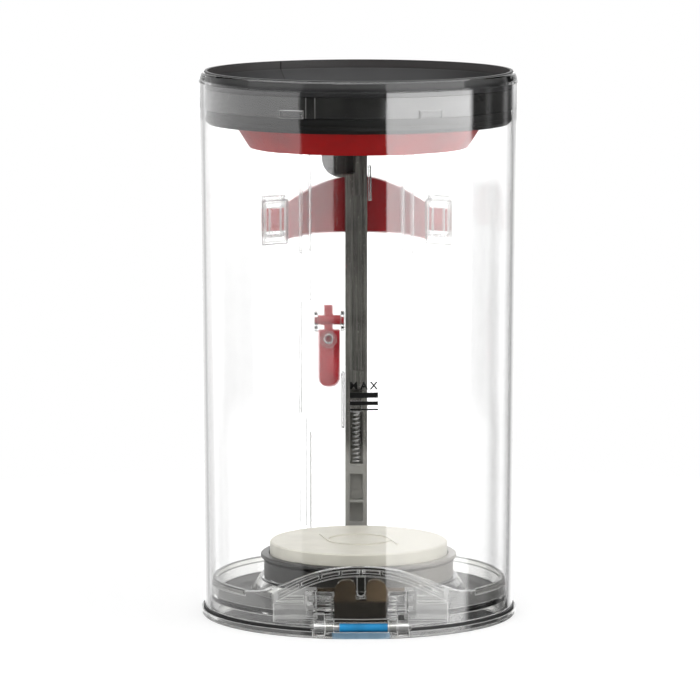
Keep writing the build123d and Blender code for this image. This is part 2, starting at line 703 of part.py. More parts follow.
def base_door():
    """Dished clear door with its upstanding ring, arched hinge pocket, boss and knuckles."""
    foot_in = FLANGE_R - FOOT_RING_W
    flare_r = BOSS_R + BOSS_FLARE
    dish = turned(
        (0, BOSS_TOP_Z - DOOR_T),
        (BOSS_R - DOOR_T, BOSS_TOP_Z - DOOR_T),
        (flare_r - DOOR_T, BOSS_FLARE_Z - DOOR_T),
        (foot_in - FOOT_DRAFT, FLOOR_Z - DOOR_T),
        (foot_in, 0),
        (FLANGE_R - FLANGE_CHAMFER, 0),
        (FLANGE_R, FLANGE_CHAMFER),
        (FLANGE_R, FLANGE_T),
        (DOOR_RING_R, FLANGE_T),
        (DOOR_RING_R, DOOR_RING_TOP_Z),
        (DOOR_RING_IN_R, DOOR_RING_TOP_Z),
        (DOOR_RING_IN_R, FLOOR_Z),
        (flare_r, BOSS_FLARE_Z),
        (BOSS_R, BOSS_TOP_Z),
        (0, BOSS_TOP_Z),
    )
    hump, hollow, ribs = hinge_pocket()
    door = dish + hump - hollow + ribs

    tongue_foot = Pos(0, TONGUE_END_Z + TONGUE_HALF_W) * Circle(TONGUE_HALF_W)
    tongue_top = ARCH_TOP_Z - ARCH_T / 2
    tongue_mid = (tongue_top + TONGUE_END_Z + TONGUE_HALF_W) / 2
    stem = Rectangle(2 * TONGUE_HALF_W, tongue_top - TONGUE_END_Z - TONGUE_HALF_W)
    tongue = tongue_foot + Pos(0, tongue_mid) * stem
    tongue_y = SLIDE_GAP - DOOR_RING_R
    door += along_y(tongue, tongue_y, tongue_y + TONGUE_T)
    boss_z = (POCKET_FLOOR_Z - ROOT, POCKET_FLOOR_Z + KICK_BOSS_H)
    boss = Pos(KICK_SPRING_X, KICK_SPRING_Y, boss_z[0]) * Circle(KICK_SPRING_R + WIRE)
    door += both_sides(extrude(boss, boss_z[1] - boss_z[0]))

    face_y = (-FLANGE_R, HINGE_Y - HINGE_FACE)
    door -= block((-FLANGE_R, FLANGE_R), face_y, (0, DOOR_RING_TOP_Z))
    lug_room = (LUG_X - SEAT_GAP / 2, LUG_END_X + SWING_GAP)
    door -= both_sides(pin(*lug_room, HINGE_Y, HINGE_Z, HINGE_BARREL_R + SWING_GAP))
    door -= pin(-KNUCKLE_X, KNUCKLE_X, HINGE_Y, HINGE_Z, SLEEVE_R + SWING_GAP)
    knuckle = (KNUCKLE_X, KNUCKLE_X + KNUCKLE_W)
    door += both_sides(pin(*knuckle, HINGE_Y, HINGE_Z, HINGE_BARREL_R))
    door -= pin(-POST_X, POST_X, HINGE_Y, HINGE_Z, HINGE_PIN_R + PIN_GAP)
    keeper_x = CATCH_HALF_W + CATCH_SIDE
    keeper_y = (FLANGE_R - KEEPER_DEPTH, FLANGE_R + FLANGE_PROUD)
    return door - block((-keeper_x, keeper_x), keeper_y, (0, KEEPER_H))


def base_gasket():
    """Flat ring between the door's flange and the tube, open at the hinge."""
    outer = TUBE_FOOT_R + GASKET_PROUD
    inner = DOOR_RING_R + GASKET_INSET
    top = FLANGE_T + GASKET_T
    ring = turned((inner, FLANGE_T), (outer, FLANGE_T), (outer, top), (inner, top))
    gap_x = LUG_END_X + POST_LAP
    return ring - block((-gap_x, gap_x), (-FLANGE_R, 0), (0, 2 * top))


def door_lip_seal():
    """Soft bead along the top of the door's ring, from one side of the arch to the other."""
    top = DOOR_RING_TOP_Z + LIP_SEAL_H
    bead = turned(
        (DOOR_RING_IN_R, DOOR_RING_TOP_Z),
        (LIP_SEAL_R, DOOR_RING_TOP_Z),
        (LIP_SEAL_R, top - LIP_SEAL_CHAMFER),
        (LIP_SEAL_R - LIP_SEAL_CHAMFER, top),
        (DOOR_RING_IN_R, top),
    )
    cut_x = ARCH_FOOT_X + SNAP_GAP
    return bead - block((-cut_x, cut_x), (-FLANGE_R, 0), (0, 2 * top))


def dust_cup():
    """Rubber cup on the door's boss with a flared lip."""
    inner = CUP_R - CUP_WALL
    lip_foot = CUP_LIP_Z - CUP_LIP_H
    return turned(
        (0, BOSS_TOP_Z),
        (CUP_R, BOSS_TOP_Z),
        (CUP_R, lip_foot - CUP_LIP_PROUD),
        (CUP_LIP_R, lip_foot),
        (CUP_LIP_R, CUP_LIP_Z - CUP_LIP_ROUND),
        (CUP_LIP_R - CUP_LIP_ROUND, CUP_LIP_Z),
        (inner, CUP_LIP_Z),
        (inner, CUP_FLOOR_Z),
        (0, CUP_FLOOR_Z),
    )


def seal_disc():
    """Cap on the cup, with a low two-armed swirl moulded on its top."""
    cap = turned(
        (0, DISC_TOP_Z - DISC_T),
        (DISC_R - DISC_T, DISC_TOP_Z - DISC_T),
        (DISC_R - DISC_T, CUP_FLOOR_Z),
        (DISC_R, CUP_FLOOR_Z),
        (DISC_R, DISC_TOP_Z - DISC_CHAMFER),
        (DISC_R - DISC_CHAMFER, DISC_TOP_Z),
        (0, DISC_TOP_Z),
    )
    curl = CenterArc((0, 0), SWIRL_R, 0, 180)
    spoke = Line((SWIRL_R, 0), (SWIRL_R, -SWIRL_SPOKE))
    arm = trace(curl + spoke, SWIRL_W)
    arms = arm + Rot(0, 0, 180) * arm
    swirl = extrude(Pos(0, 0, DISC_TOP_Z - SWIRL_H) * Rot(0, 0, SWIRL_TURN) * arms, 2 * SWIRL_H)
    return cap + swirl


def hinge_shield():
    """Smoked two-lobed plate that hangs on the hinge shelves in front of the pocket."""
    front = SHIELD_INSET - DOOR_RING_R
    back = front + SHIELD_T
    slot_w = TONGUE_HALF_W + SWING_GAP
    foot = HINGE_Z + SLEEVE_R + SEAT_GAP
    lobe = Rectangle(SHIELD_HALF_W - slot_w, SHIELD_TOP_Z - SHIELD_STEP_Z)
    inner, outer = lobe.vertices().group_by(Axis.Y)[-1].sort_by(Axis.X)
    lobe = fillet(outer, SHIELD_OUTER_ROUND)
    inner = lobe.vertices().group_by(Axis.Y)[-1].sort_by(Axis.X)[0]
    lobe = fillet(inner, SHIELD_INNER_ROUND)
    lobe = Pos((SHIELD_HALF_W + slot_w) / 2, (SHIELD_TOP_Z + SHIELD_STEP_Z) / 2) * lobe
    plate = Rectangle(2 * SHIELD_HALF_W, SHIELD_STEP_Z - foot)
    plate = Pos(0, (SHIELD_STEP_Z + foot) / 2) * plate
    body = along_y(plate + lobe + mirror(lobe, about=Plane.YZ), front, back)
    body += along_y(plate, front, back + SHIELD_STEP_T)
    tab_foot = SHELF_Z + SHELF_T
    tab_x = (SHIELD_HALF_W - POST_WALL, POST_X - SEAT_GAP)
    tab = block(tab_x, (back - SHIELD_TAB_T, back), (tab_foot, tab_foot + SHIELD_TAB_H))
    return body + both_sides(tab)


def hinge_sleeve():
    """Blue sleeve on the hinge pin, with a little of the pin bare at its left."""
    ring = Pos(HINGE_Y, HINGE_Z) * (Circle(SLEEVE_R) - Circle(HINGE_PIN_R))
    return across(ring, SLEEVE_SHORT - SLEEVE_HALF_W, SLEEVE_HALF_W)


def release_rod():
    """Dark rod on the back with its head tab, spring slot, pockets, grooves and wedge foot."""
    strip = Rectangle(2 * ROD_HALF_W, ROD_TOP_Z - ROD_FOOT_Z)
    rod = along_y(Pos(0, (ROD_TOP_Z + ROD_FOOT_Z) / 2) * strip, ROD_IN_Y, ROD_OUT_Y)
    head = RectangleRounded(ROD_HALF_W - ROD_HEAD_X, ROD_HEAD_H, ROD_HEAD_ROUND)
    head = Pos((ROD_HEAD_X + ROD_HALF_W) / 2, (ROD_TOP_Z + ROD_HEAD_Z) / 2) * head
    head_y = ROD_IN_Y + ROD_HEAD_SHIFT
    rod += along_y(head, head_y, head_y + ROD_HEAD_T)

    slot_x = (-ROD_SLOT_HALF_W, ROD_SLOT_HALF_W)
    rod -= block(slot_x, (0, ROD_SLOT_Y), ROD_SLOT_Z)
    pocket_y = (0, ROD_IN_Y + ROD_POCKET_DEPTH)
    pocket_top = ROD_SLOT_Z[0] - ROD_BAR
    for height in ROD_POCKET_HEIGHTS:
        rod -= block(slot_x, pocket_y, (pocket_top - height, pocket_top))
        pocket_top -= height + ROD_POCKET_WEB
    groove_x = (-ROD_GROOVE_HALF_W, ROD_GROOVE_HALF_W)
    groove_z = (ROD_SLOT_Z[1] + ROD_GROOVE_END, ROD_HEAD_Z - ROD_GROOVE_END)
    rod -= block(groove_x, (0, ROD_IN_Y + ROD_GROOVE_DEPTH), groove_z)
    rod -= block(ROD_LINE_X, (0, ROD_IN_Y + ROD_LINE_DEPTH), (groove_z[0], ROD_TOP_Z))
    window_z = (ROD_HEAD_Z + ROD_WINDOW_RISE, ROD_TOP_Z - ROD_WINDOW_RISE)
    rod -= block(ROD_WINDOW_X, (0, ROD_IN_Y + ROD_WINDOW_DEPTH), window_z)

    rise = WEDGE_SLOPE * (ROD_FOOT_Z - WEDGE_FOOT_Z)
    root_z = ROD_FOOT_Z + ROOT
    wedge = Polyline(
        (ROD_IN_Y - WEDGE_IN, WEDGE_FOOT_Z),
        (WEDGE_OUT_Y, WEDGE_FOOT_Z),
        (WEDGE_OUT_Y - rise, root_z),
        (ROD_IN_Y, root_z),
        (ROD_IN_Y, ROD_FOOT_Z),
        (ROD_IN_Y - WEDGE_IN, ROD_FOOT_Z - WEDGE_RAMP_H),
        close=True,
    )
    half = ROD_HALF_W - WEDGE_SIDE
    return rod + across(make_face(wedge), -half, half)


def rod_saddle():
    """Red strap bent over the rod, its end tongues held in the tube's clips."""
    clip = clip_plane()
    heel = clip.origin - clip.x_dir * (CLIP_W * 0.6)
    tip = clip.origin + clip.x_dir * (CLIP_W * 0.55)
    right = ((RAIL_X, SADDLE_CROWN_Y), (heel.X, heel.Y), (tip.X, tip.Y))
    left = tuple((-x, y) for x, y in reversed(right))
    plan = trace(FilletPolyline(*left, *right, radius=SADDLE_BEND_R), SADDLE_T)
    band = extrude(Pos(0, 0, SADDLE_FOOT_Z) * plan, SADDLE_H)

    shoulder = SADDLE_TOP_Z - SADDLE_SHOULDER_DROP
    top = Spline(
        (-SADDLE_END_X, SADDLE_END_Z),
        (-RAIL_X, shoulder),
        (0, SADDLE_TOP_Z),
        (RAIL_X, shoulder),
        (SADDLE_END_X, SADDLE_END_Z),
    )
    end = Polyline(
        (SADDLE_END_X, SADDLE_END_Z),
        (SADDLE_END_X, TONGUE_Z[1]),
        (2 * SADDLE_END_X, TONGUE_Z[1]),
        (2 * SADDLE_END_X, TONGUE_Z[0]),
        (SADDLE_END_X, TONGUE_Z[0]),
        (SADDLE_END_X, SADDLE_FOOT_Z),
    )
    foot = ThreePointArc(
        (SADDLE_END_X, SADDLE_FOOT_Z),
        (0, SADDLE_FOOT_Z + SADDLE_SAG),
        (-SADDLE_END_X, SADDLE_FOOT_Z),
    )
    other_end = mirror(end, about=Plane.YZ)
    outline = make_face([top, *end.edges(), foot, *other_end.edges()])
    return band & along_y(outline, 0, 2 * SADDLE_CROWN_Y)


def runner_latch():
    """Red rocking lever: paddle below its pivot stubs, hooked neck above."""
    outside = LATCH_IN_Y + LATCH_T
    paddle = Polyline(
        (LATCH_IN_Y, LATCH_PADDLE_Z),
        (outside, LATCH_PADDLE_Z),
        (outside + LATCH_FLARE, LATCH_FOOT_Z),
        (LATCH_IN_Y + LATCH_FLARE, LATCH_FOOT_Z),
        close=True,
    )
    hook_z = LATCH_TOP_Z - LATCH_HOOK_H
    neck = Polyline(
        (LATCH_IN_Y, LATCH_PADDLE_Z - ROOT),
        (outside, LATCH_PADDLE_Z - ROOT),
        (outside, hook_z),
        (outside + LATCH_HOOK_OUT, hook_z + LATCH_HOOK_TIP),
        (outside, LATCH_TOP_Z),
        (LATCH_IN_Y, LATCH_TOP_Z),
        close=True,
    )
    lever = across(make_face(paddle), *LATCH_X)
    toes = lever.edges().filter_by(Axis.Y, tolerance=30).group_by(Axis.Z)[0]
    lever = fillet(toes, LATCH_TOE_R)
    lever += across(make_face(neck), *LATCH_NECK_X)
    stub_x = (EARS_X[0] + LATCH_STUB_INSET, EARS_X[1] + EAR_T - LATCH_STUB_INSET)
    return lever + pin(*stub_x, LATCH_PIVOT_Y, LATCH_PIVOT_Z, LATCH_PIVOT_R)


def door_catch():
    """Hook that turns on a pin under the rod and reaches down to the door's edge."""
    back = CATCH_PIVOT_Y + CATCH_HALF_T
    front = CATCH_PIVOT_Y - CATCH_HALF_T
    pad_y = WEDGE_OUT_Y + CATCH_PAD_GAP
    pad_top_y = pad_y - WEDGE_SLOPE * (CATCH_PAD_TOP_Z - WEDGE_FOOT_Z)
    nose_y = FLANGE_R + SEAT_GAP
    nose_z = CATCH_FOOT_Z + CATCH_NOSE_H
    side = make_face(
        Polyline(
            (back, CATCH_FOOT_Z),
            (back, CATCH_PIVOT_Z),
            (front, CATCH_PIVOT_Z),
            (front, CATCH_PAD_TOP_Z + CATCH_PAD_STEP),
            (pad_top_y, CATCH_PAD_TOP_Z),
            (pad_y, WEDGE_FOOT_Z),
            (pad_y, nose_z + CATCH_NOSE_RISE),
            (nose_y, nose_z),
            (nose_y, CATCH_FOOT_Z),
            close=True,
        )
    )
    side += Pos(CATCH_PIVOT_Y, CATCH_PIVOT_Z) * Circle(CATCH_BARREL_R)
    side -= Pos(CATCH_PIVOT_Y, CATCH_PIVOT_Z) * Circle(CATCH_PIN_R + PIN_GAP)
    hook = across(side, -CATCH_HALF_W, CATCH_HALF_W)
    half = CATCH_HALF_W / 2
    room_r = CATCH_BARREL_R + CATCH_SPRING_ROOM
    return hook - pin(-half, half, CATCH_PIVOT_Y, CATCH_PIVOT_Z, room_r)


def rod_spring():
    """Coil in the rod's slot, between the slot's foot and the tube's lug."""
    foot = ROD_SLOT_Z[0] + SEAT_GAP
    length = SPRING_LUG_Z[0] - SEAT_GAP - foot
    spring = coil(ROD_SPRING_R, length, ROD_SPRING_TURNS)
    return Pos(0, (ROD_IN_Y + ROD_SLOT_Y) / 2, foot) * spring


def kick_spring():
    """Right-hand coil that pushes the door open, between its boss and the hinge shelf."""
    foot = POCKET_FLOOR_Z + KICK_BOSS_H + SEAT_GAP
    spring = coil(KICK_SPRING_R, SHELF_Z - SNAP_GAP / 2 - foot, KICK_SPRING_TURNS)
    return Pos(KICK_SPRING_X, KICK_SPRING_Y, foot) * spring


def latch_spring():
    """Coil in the tube's ring that pushes the latch's paddle outwards."""
    edge_x = LATCH_BOSS_X + LATCH_SPRING_R + WIRE
    foot = sqrt(tube_outer(LATCH_BOSS_Z) ** 2 - edge_x**2) + LATCH_SPRING_FOOT_GAP
    drop = (LATCH_PADDLE_Z - LATCH_BOSS_Z) / (LATCH_PADDLE_Z - LATCH_FOOT_Z)
    paddle_y = LATCH_IN_Y + LATCH_FLARE * drop
    length = paddle_y - LATCH_SPRING_TOP_GAP - foot
    spring = Rot(-90, 0, 0) * coil(LATCH_SPRING_R, length, LATCH_SPRING_TURNS)
    return Pos(LATCH_BOSS_X, foot, LATCH_BOSS_Z) * spring


def catch_spring():
    """Coil round the catch's pin, in the gap between the catch's two barrels."""
    half = CATCH_HALF_W / 2 - SEAT_GAP
    spring = coil(CATCH_PIN_R + CATCH_SPRING_OUT, 2 * half, CATCH_SPRING_TURNS)
    return Pos(-half, CATCH_PIVOT_Y, CATCH_PIVOT_Z) * Rot(0, 90, 0) * spring


pieces = {
    "bin_cylinder": bin_tube(),
    "collar_carrier": collar_carrier(),
    "collar_funnel": collar_funnel(),
    "wiper_ring": wiper_ring(),
    "release_rod": release_rod(),
    "rod_spring": rod_spring(),
    "rod_saddle": rod_saddle(),
    "runner_latch": runner_latch(),
    "latch_spring": latch_spring(),
    "base_door": base_door(),
    "base_gasket": base_gasket(),
    "door_lip_seal": door_lip_seal(),
    "dust_cup": dust_cup(),
    "seal_disc": seal_disc(),
    "hinge_shield": hinge_shield(),
    "hinge_sleeve": hinge_sleeve(),
    "hinge_pin": pin(-LUG_END_X, LUG_END_X, HINGE_Y, HINGE_Z, HINGE_PIN_R),
    "kick_spring_right": kick_spring(),
    "kick_spring_left": mirror(kick_spring(), about=Plane.YZ),
    "door_catch": door_catch(),
    "catch_pin": pin(-CATCH_END_X, CATCH_END_X, CATCH_PIVOT_Y, CATCH_PIVOT_Z, CATCH_PIN_R),
    "catch_spring": catch_spring(),
}

os.makedirs("parts", exist_ok=True)
for node, shape in pieces.items():
    export_step(shape, f"parts/{node}.step")
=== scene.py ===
"""Looks of a clear dust bin: finishes, springs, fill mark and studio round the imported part."""

from __future__ import annotations

import json
import logging
import math
from dataclasses import dataclass
from enum import Enum
from typing import Any

import bpy
from mathutils import Color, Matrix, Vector

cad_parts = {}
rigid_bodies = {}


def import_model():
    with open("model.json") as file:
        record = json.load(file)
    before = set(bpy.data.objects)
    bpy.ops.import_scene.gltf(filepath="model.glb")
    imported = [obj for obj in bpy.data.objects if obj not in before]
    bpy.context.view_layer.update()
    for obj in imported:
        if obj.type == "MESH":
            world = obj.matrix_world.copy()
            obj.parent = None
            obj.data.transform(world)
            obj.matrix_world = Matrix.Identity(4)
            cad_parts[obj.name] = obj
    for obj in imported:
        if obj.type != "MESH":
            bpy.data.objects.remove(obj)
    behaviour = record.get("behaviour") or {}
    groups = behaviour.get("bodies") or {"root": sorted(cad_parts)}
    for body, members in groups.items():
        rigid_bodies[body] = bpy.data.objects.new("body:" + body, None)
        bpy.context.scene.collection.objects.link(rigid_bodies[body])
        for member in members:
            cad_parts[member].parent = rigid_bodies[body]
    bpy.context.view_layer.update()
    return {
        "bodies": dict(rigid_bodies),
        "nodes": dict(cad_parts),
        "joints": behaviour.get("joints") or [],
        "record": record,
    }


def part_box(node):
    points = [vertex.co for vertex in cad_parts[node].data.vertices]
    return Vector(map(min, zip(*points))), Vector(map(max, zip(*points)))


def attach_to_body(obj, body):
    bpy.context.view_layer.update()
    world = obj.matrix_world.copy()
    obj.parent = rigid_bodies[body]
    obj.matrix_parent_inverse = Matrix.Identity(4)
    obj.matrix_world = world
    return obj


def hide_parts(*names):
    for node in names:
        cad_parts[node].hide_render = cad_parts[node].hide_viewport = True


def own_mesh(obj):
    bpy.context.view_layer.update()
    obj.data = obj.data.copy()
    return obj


LOG = logging.getLogger("dust_bin")
MM = 0.001
SCREEN_WHITE = 255.0
NOISE_MIDDLE = 0.5

Frame = dict[str, Any]
Piece = bpy.types.Object
Span = tuple[float, float]
Point = tuple[float, float, float]
Rgba = tuple[float, float, float, float]


def mm(*sizes: float) -> tuple[float, ...]:
    """Millimetres as metres."""
    return tuple(size * MM for size in sizes)


def grey(level: float) -> Rgba:
    """A neutral colour of this brightness, as a shader takes it."""
    return level, level, level, 1.0


class Body(str, Enum):
    """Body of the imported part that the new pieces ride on."""

    BIN = "bin"


class Slot(str, Enum):
    """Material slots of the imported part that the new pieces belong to."""

    BLACK = "black_plastic"
    STEEL = "steel"


class Axis(Enum):
    """Direction that a spring's coils are stacked along, as the turn that brings Z there."""

    X = (0.0, math.pi / 2, 0.0)
    Y = (-math.pi / 2, 0.0, 0.0)
    Z = (0.0, 0.0, 0.0)


@dataclass(frozen=True)
class Tone:
    """A colour as it looks on a screen, each part from 0 to 255."""

    red: float
    green: float
    blue: float

    def linear(self) -> Rgba:
        """The colour as a shader takes it."""
        screen = Color(part / SCREEN_WHITE for part in (self.red, self.green, self.blue))
        return *screen.from_srgb_to_scene_linear(), 1.0

    def scaled(self, factor: float) -> Tone:
        """A lighter or darker version of the colour."""
        parts = (self.red, self.green, self.blue)
        return Tone(*(min(SCREEN_WHITE, part * factor) for part in parts))

    def shades(self, *factors: float) -> tuple[Rgba, ...]:
        """Lighter and darker versions of the colour, as a shader takes them."""
        return tuple(self.scaled(factor).linear() for factor in factors)


class Signal:
    """A shader socket that takes part in Python arithmetic."""

    def __init__(self, graph: Graph, socket: bpy.types.NodeSocket | None) -> None:
        """Wrap one output socket of a graph, if the node has one."""
        self.graph = graph
        self.socket = socket

    def _math(self, operation: str, first: Value, second: Value) -> Signal:
        """Join two values with a Math node."""
        settings = {"operation": operation}
        return self.graph.node("ShaderNodeMath", settings, {0: first, 1: second})

    def __add__(self, other: Value) -> Signal:
        """Sum."""
        return self._math("ADD", self, other)

    __radd__ = __add__

    def __mul__(self, other: Value) -> Signal:
        """Product."""
        return self._math("MULTIPLY", self, other)

    __rmul__ = __mul__

    def __sub__(self, other: Value) -> Signal:
        """Difference."""
        return self._math("SUBTRACT", self, other)

    def __rsub__(self, other: Value) -> Signal:
        """Difference with the number first."""
        return self._math("SUBTRACT", other, self)

    def __truediv__(self, other: Value) -> Signal:
        """Quotient."""
        return self._math("DIVIDE", self, other)

    def __pow__(self, other: float) -> Signal:
        """Power."""
        return self._math("POWER", self, other)

    def above(self, limit: float) -> Signal:
        """1 where the value is above the limit, and 0 elsewhere."""
        return self._math("GREATER_THAN", self, limit)

    def largest(self, other: Value) -> Signal:
        """The larger of two values."""
        return self._math("MAXIMUM", self, other)

    def size(self) -> Signal:
        """The value without its sign."""
        return self._math("ABSOLUTE", self, 0.0)


Value = Signal | float


class Graph:
    """Node tree of one material or of the world."""

    BEVEL_SAMPLES = 6
    EDGE_TURN = (0.01, 0.12)

    def __init__(self, owner: bpy.types.Material | bpy.types.World) -> None:
        """Start with an empty tree.

        Args:
            owner: The material or world whose nodes are written.
        """
        owner.use_nodes = True
        self.tree = owner.node_tree
        self.tree.nodes.clear()

    def node(
        self,
        kind: str,
        settings: dict[str, Any] | None = None,
        inputs: dict[str | int, Any] | None = None,
        output: str | int = 0,
    ) -> Signal:
        """Add a node.

        Args:
            kind: The node's type.
            settings: Attributes to set first. "stops" holds a colour ramp's places and colours.
            inputs: Values or signals, by socket name, identifier or number.
            output: Name, identifier or number of the output that is wanted.

        Returns:
            The signal of that output.
        """
        node = self.tree.nodes.new(kind)
        for name, value in (settings or {}).items():
            if name == "stops":
                self._set_stops(node.color_ramp, value)
            else:
                setattr(node, name, value)
        for name, value in (inputs or {}).items():
            socket = self._find(node.inputs, name)
            if isinstance(value, Signal):
                self.tree.links.new(value.socket, socket)
            else:
                socket.default_value = value
        return Signal(self, self._find(node.outputs, output) if node.outputs else None)

    @staticmethod
    def _find(sockets: Any, name: str | int) -> bpy.types.NodeSocket:
        """A socket by identifier, or else by number or name."""
        known = {socket.identifier: socket for socket in sockets}
        return known.get(name) or sockets[name]

    @staticmethod
    def _set_stops(ramp: bpy.types.ColorRamp, stops: list[tuple[float, Rgba]]) -> None:
        """Give a colour ramp its stops.

        Args:
            ramp: The ramp.
            stops: Place and colour of each stop.
        """
        while len(ramp.elements) < len(stops):
            ramp.elements.new(1.0)
        for element, (place, colour) in zip(ramp.elements, stops):
            element.position = place
            element.color = colour

    def place(self) -> Signal:
        """Object coordinates, in metres of the shared frame."""
        return self.node("ShaderNodeTexCoord", output="Object")

    def parts(self) -> tuple[Signal, Signal, Signal]:
        """The three Object coordinates as values."""
        node = self.node("ShaderNodeSeparateXYZ", inputs={0: self.place()}).socket.node
        return tuple(Signal(self, socket) for socket in node.outputs)

    def radius(self) -> Signal:
        """Distance from the bin's axis, in metres."""
        x, y, _ = self.parts()
        return (x * x + y * y) ** 0.5

    def ray(self, kind: str) -> Signal:
        """A Light Path value: what a ray is, or how often it was mirrored."""
        return self.node("ShaderNodeLightPath", output=kind)

    def mix(self, share: Value, first: Any, second: Any) -> Signal:
        """Two colours mixed, with this share of the second one."""
        inputs = {"Factor_Float": share, "A_Color": first, "B_Color": second}
        return self.node("ShaderNodeMix", {"data_type": "RGBA"}, inputs, "Result_Color")

    def smooth(self, value: Signal, low: float, high: float) -> Signal:
        """0 below low, 1 above high, and a soft step between."""
        inputs = {"Value": value, "From Min": low, "From Max": high}
        return self.node("ShaderNodeMapRange", {"interpolation_type": "SMOOTHSTEP"}, inputs)

    def between(self, value: Signal, low: float, high: float, soft: float) -> Signal:
        """1 between two limits, 0 outside them, with soft steps."""
        return self.smooth(value, low, low + soft) * (1 - self.smooth(value, high - soft, high))

    def line(self, off: Signal, half: float, core: float = 0.5) -> Signal:
        """1 in a line's core, a share of its half width, and 0 from its half width outwards."""
        return 1 - self.smooth(off.size(), core * half, half)

    def rounded(self, edge: float) -> Signal:
        """Normal of a surface whose sharp edges are softened with a radius."""
        return self.node("ShaderNodeBevel", {"samples": self.BEVEL_SAMPLES}, {"Radius": edge})

    def sharp_edges(self, rounded: Signal) -> Signal:
        """1 on sharp edges and 0 away from them.

        Args:
            rounded: The softened normal.

        Returns:
            The mask.
        """
        plain = self.node("ShaderNodeNewGeometry", output="Normal")
        settings = {"operation": "DOT_PRODUCT"}
        facing = self.node("ShaderNodeVectorMath", settings, {0: rounded, 1: plain}, "Value")
        return self.smooth(1 - facing.size(), *self.EDGE_TURN)

    def bump(self, height: Signal, depth: float, rounded: Signal) -> Signal:
        """A softened normal with moulded-in texture, where a height of 1 is this depth."""
        inputs = {"Height": height, "Distance": depth, "Normal": rounded}
        return self.node("ShaderNodeBump", inputs=inputs)

    def principled(self, inputs: dict[str, Any]) -> Signal:
        """A Principled shader with these inputs."""
        return self.node("ShaderNodeBsdfPrincipled", inputs=inputs)

    def clear(self, colour: Rgba) -> Signal:
        """A shader that lets rays straight through and tints them."""
        return self.node("ShaderNodeBsdfTransparent", inputs={"Color": colour})

    def glow(self, colour: Signal | Rgba, strength: float) -> Signal:
        """A shader that gives light."""
        return self.node("ShaderNodeEmission", inputs={"Color": colour, "Strength": strength})

    def blend(self, share: Value, first: Signal, second: Signal) -> Signal:
        """Two shaders mixed, with this share of the second one."""
        return self.node("ShaderNodeMixShader", inputs={0: share, 1: first, 2: second})

    def lets_lamps_in(self, shader: Signal, shade: Tone) -> Signal:
        """A see-through shader that tints lamp light instead of stopping it."""
        return self.blend(self.ray("Is Shadow Ray"), shader, self.clear(shade.linear()))

    def finish(self, shader: Signal, kind: str = "ShaderNodeOutputMaterial") -> None:
        """Connect the last shader to the output."""
        self.node(kind, inputs={"Surface": shader})


@dataclass(frozen=True)
class Grain:
    """Noise over a surface: its lumps' size, finer layers, soft step and stretch."""

    size: float
    detail: float = 2.0
    step: Span | None = None
    stretch: Point | None = None

    def value(self, graph: Graph) -> Signal:
        """The noise, from about 0 to 1.

        Args:
            graph: The material's graph.

        Returns:
            The noise, sharpened where the grain has a step.
        """
        place = graph.place()
        if self.stretch:
            inputs = {"Vector": place, "Scale": self.stretch}
            place = graph.node("ShaderNodeMapping", inputs=inputs)
        inputs = {"Vector": place, "Scale": 1.0 / self.size, "Detail": self.detail}
        noise = graph.node("ShaderNodeTexNoise", inputs=inputs)
        return graph.smooth(noise, *self.step) if self.step else noise

    def swing(self, graph: Graph, middle: float, spread: float) -> Signal:
        """A value that the noise moves about a middle."""
        return middle + spread * (self.value(graph) - NOISE_MIDDLE)


@dataclass(frozen=True)
class Finish:
    """A surface finish that can be put on a piece."""

    name: str

    def shader(self, graph: Graph) -> Signal:
        """The finish's shader, written into a graph."""
        raise NotImplementedError

    def material(self) -> bpy.types.Material:
        """The finish as a material, made once.

        Returns:
            The material.
        """
        title = "finish_" + self.name
        material = bpy.data.materials.get(title)
        if not material:
            material = bpy.data.materials.new(title)
            graph = Graph(material)
            graph.finish(self.shader(graph))
        return material

    def dress(self, piece: Piece) -> None:
        """Put the finish on every slot of a piece.

        Args:
            piece: The object to dress.
        """
        if not piece.material_slots:
            piece.data.materials.append(None)
        for slot in piece.material_slots:
            slot.material = self.material()


Looks = tuple[tuple[str, Finish], ...]


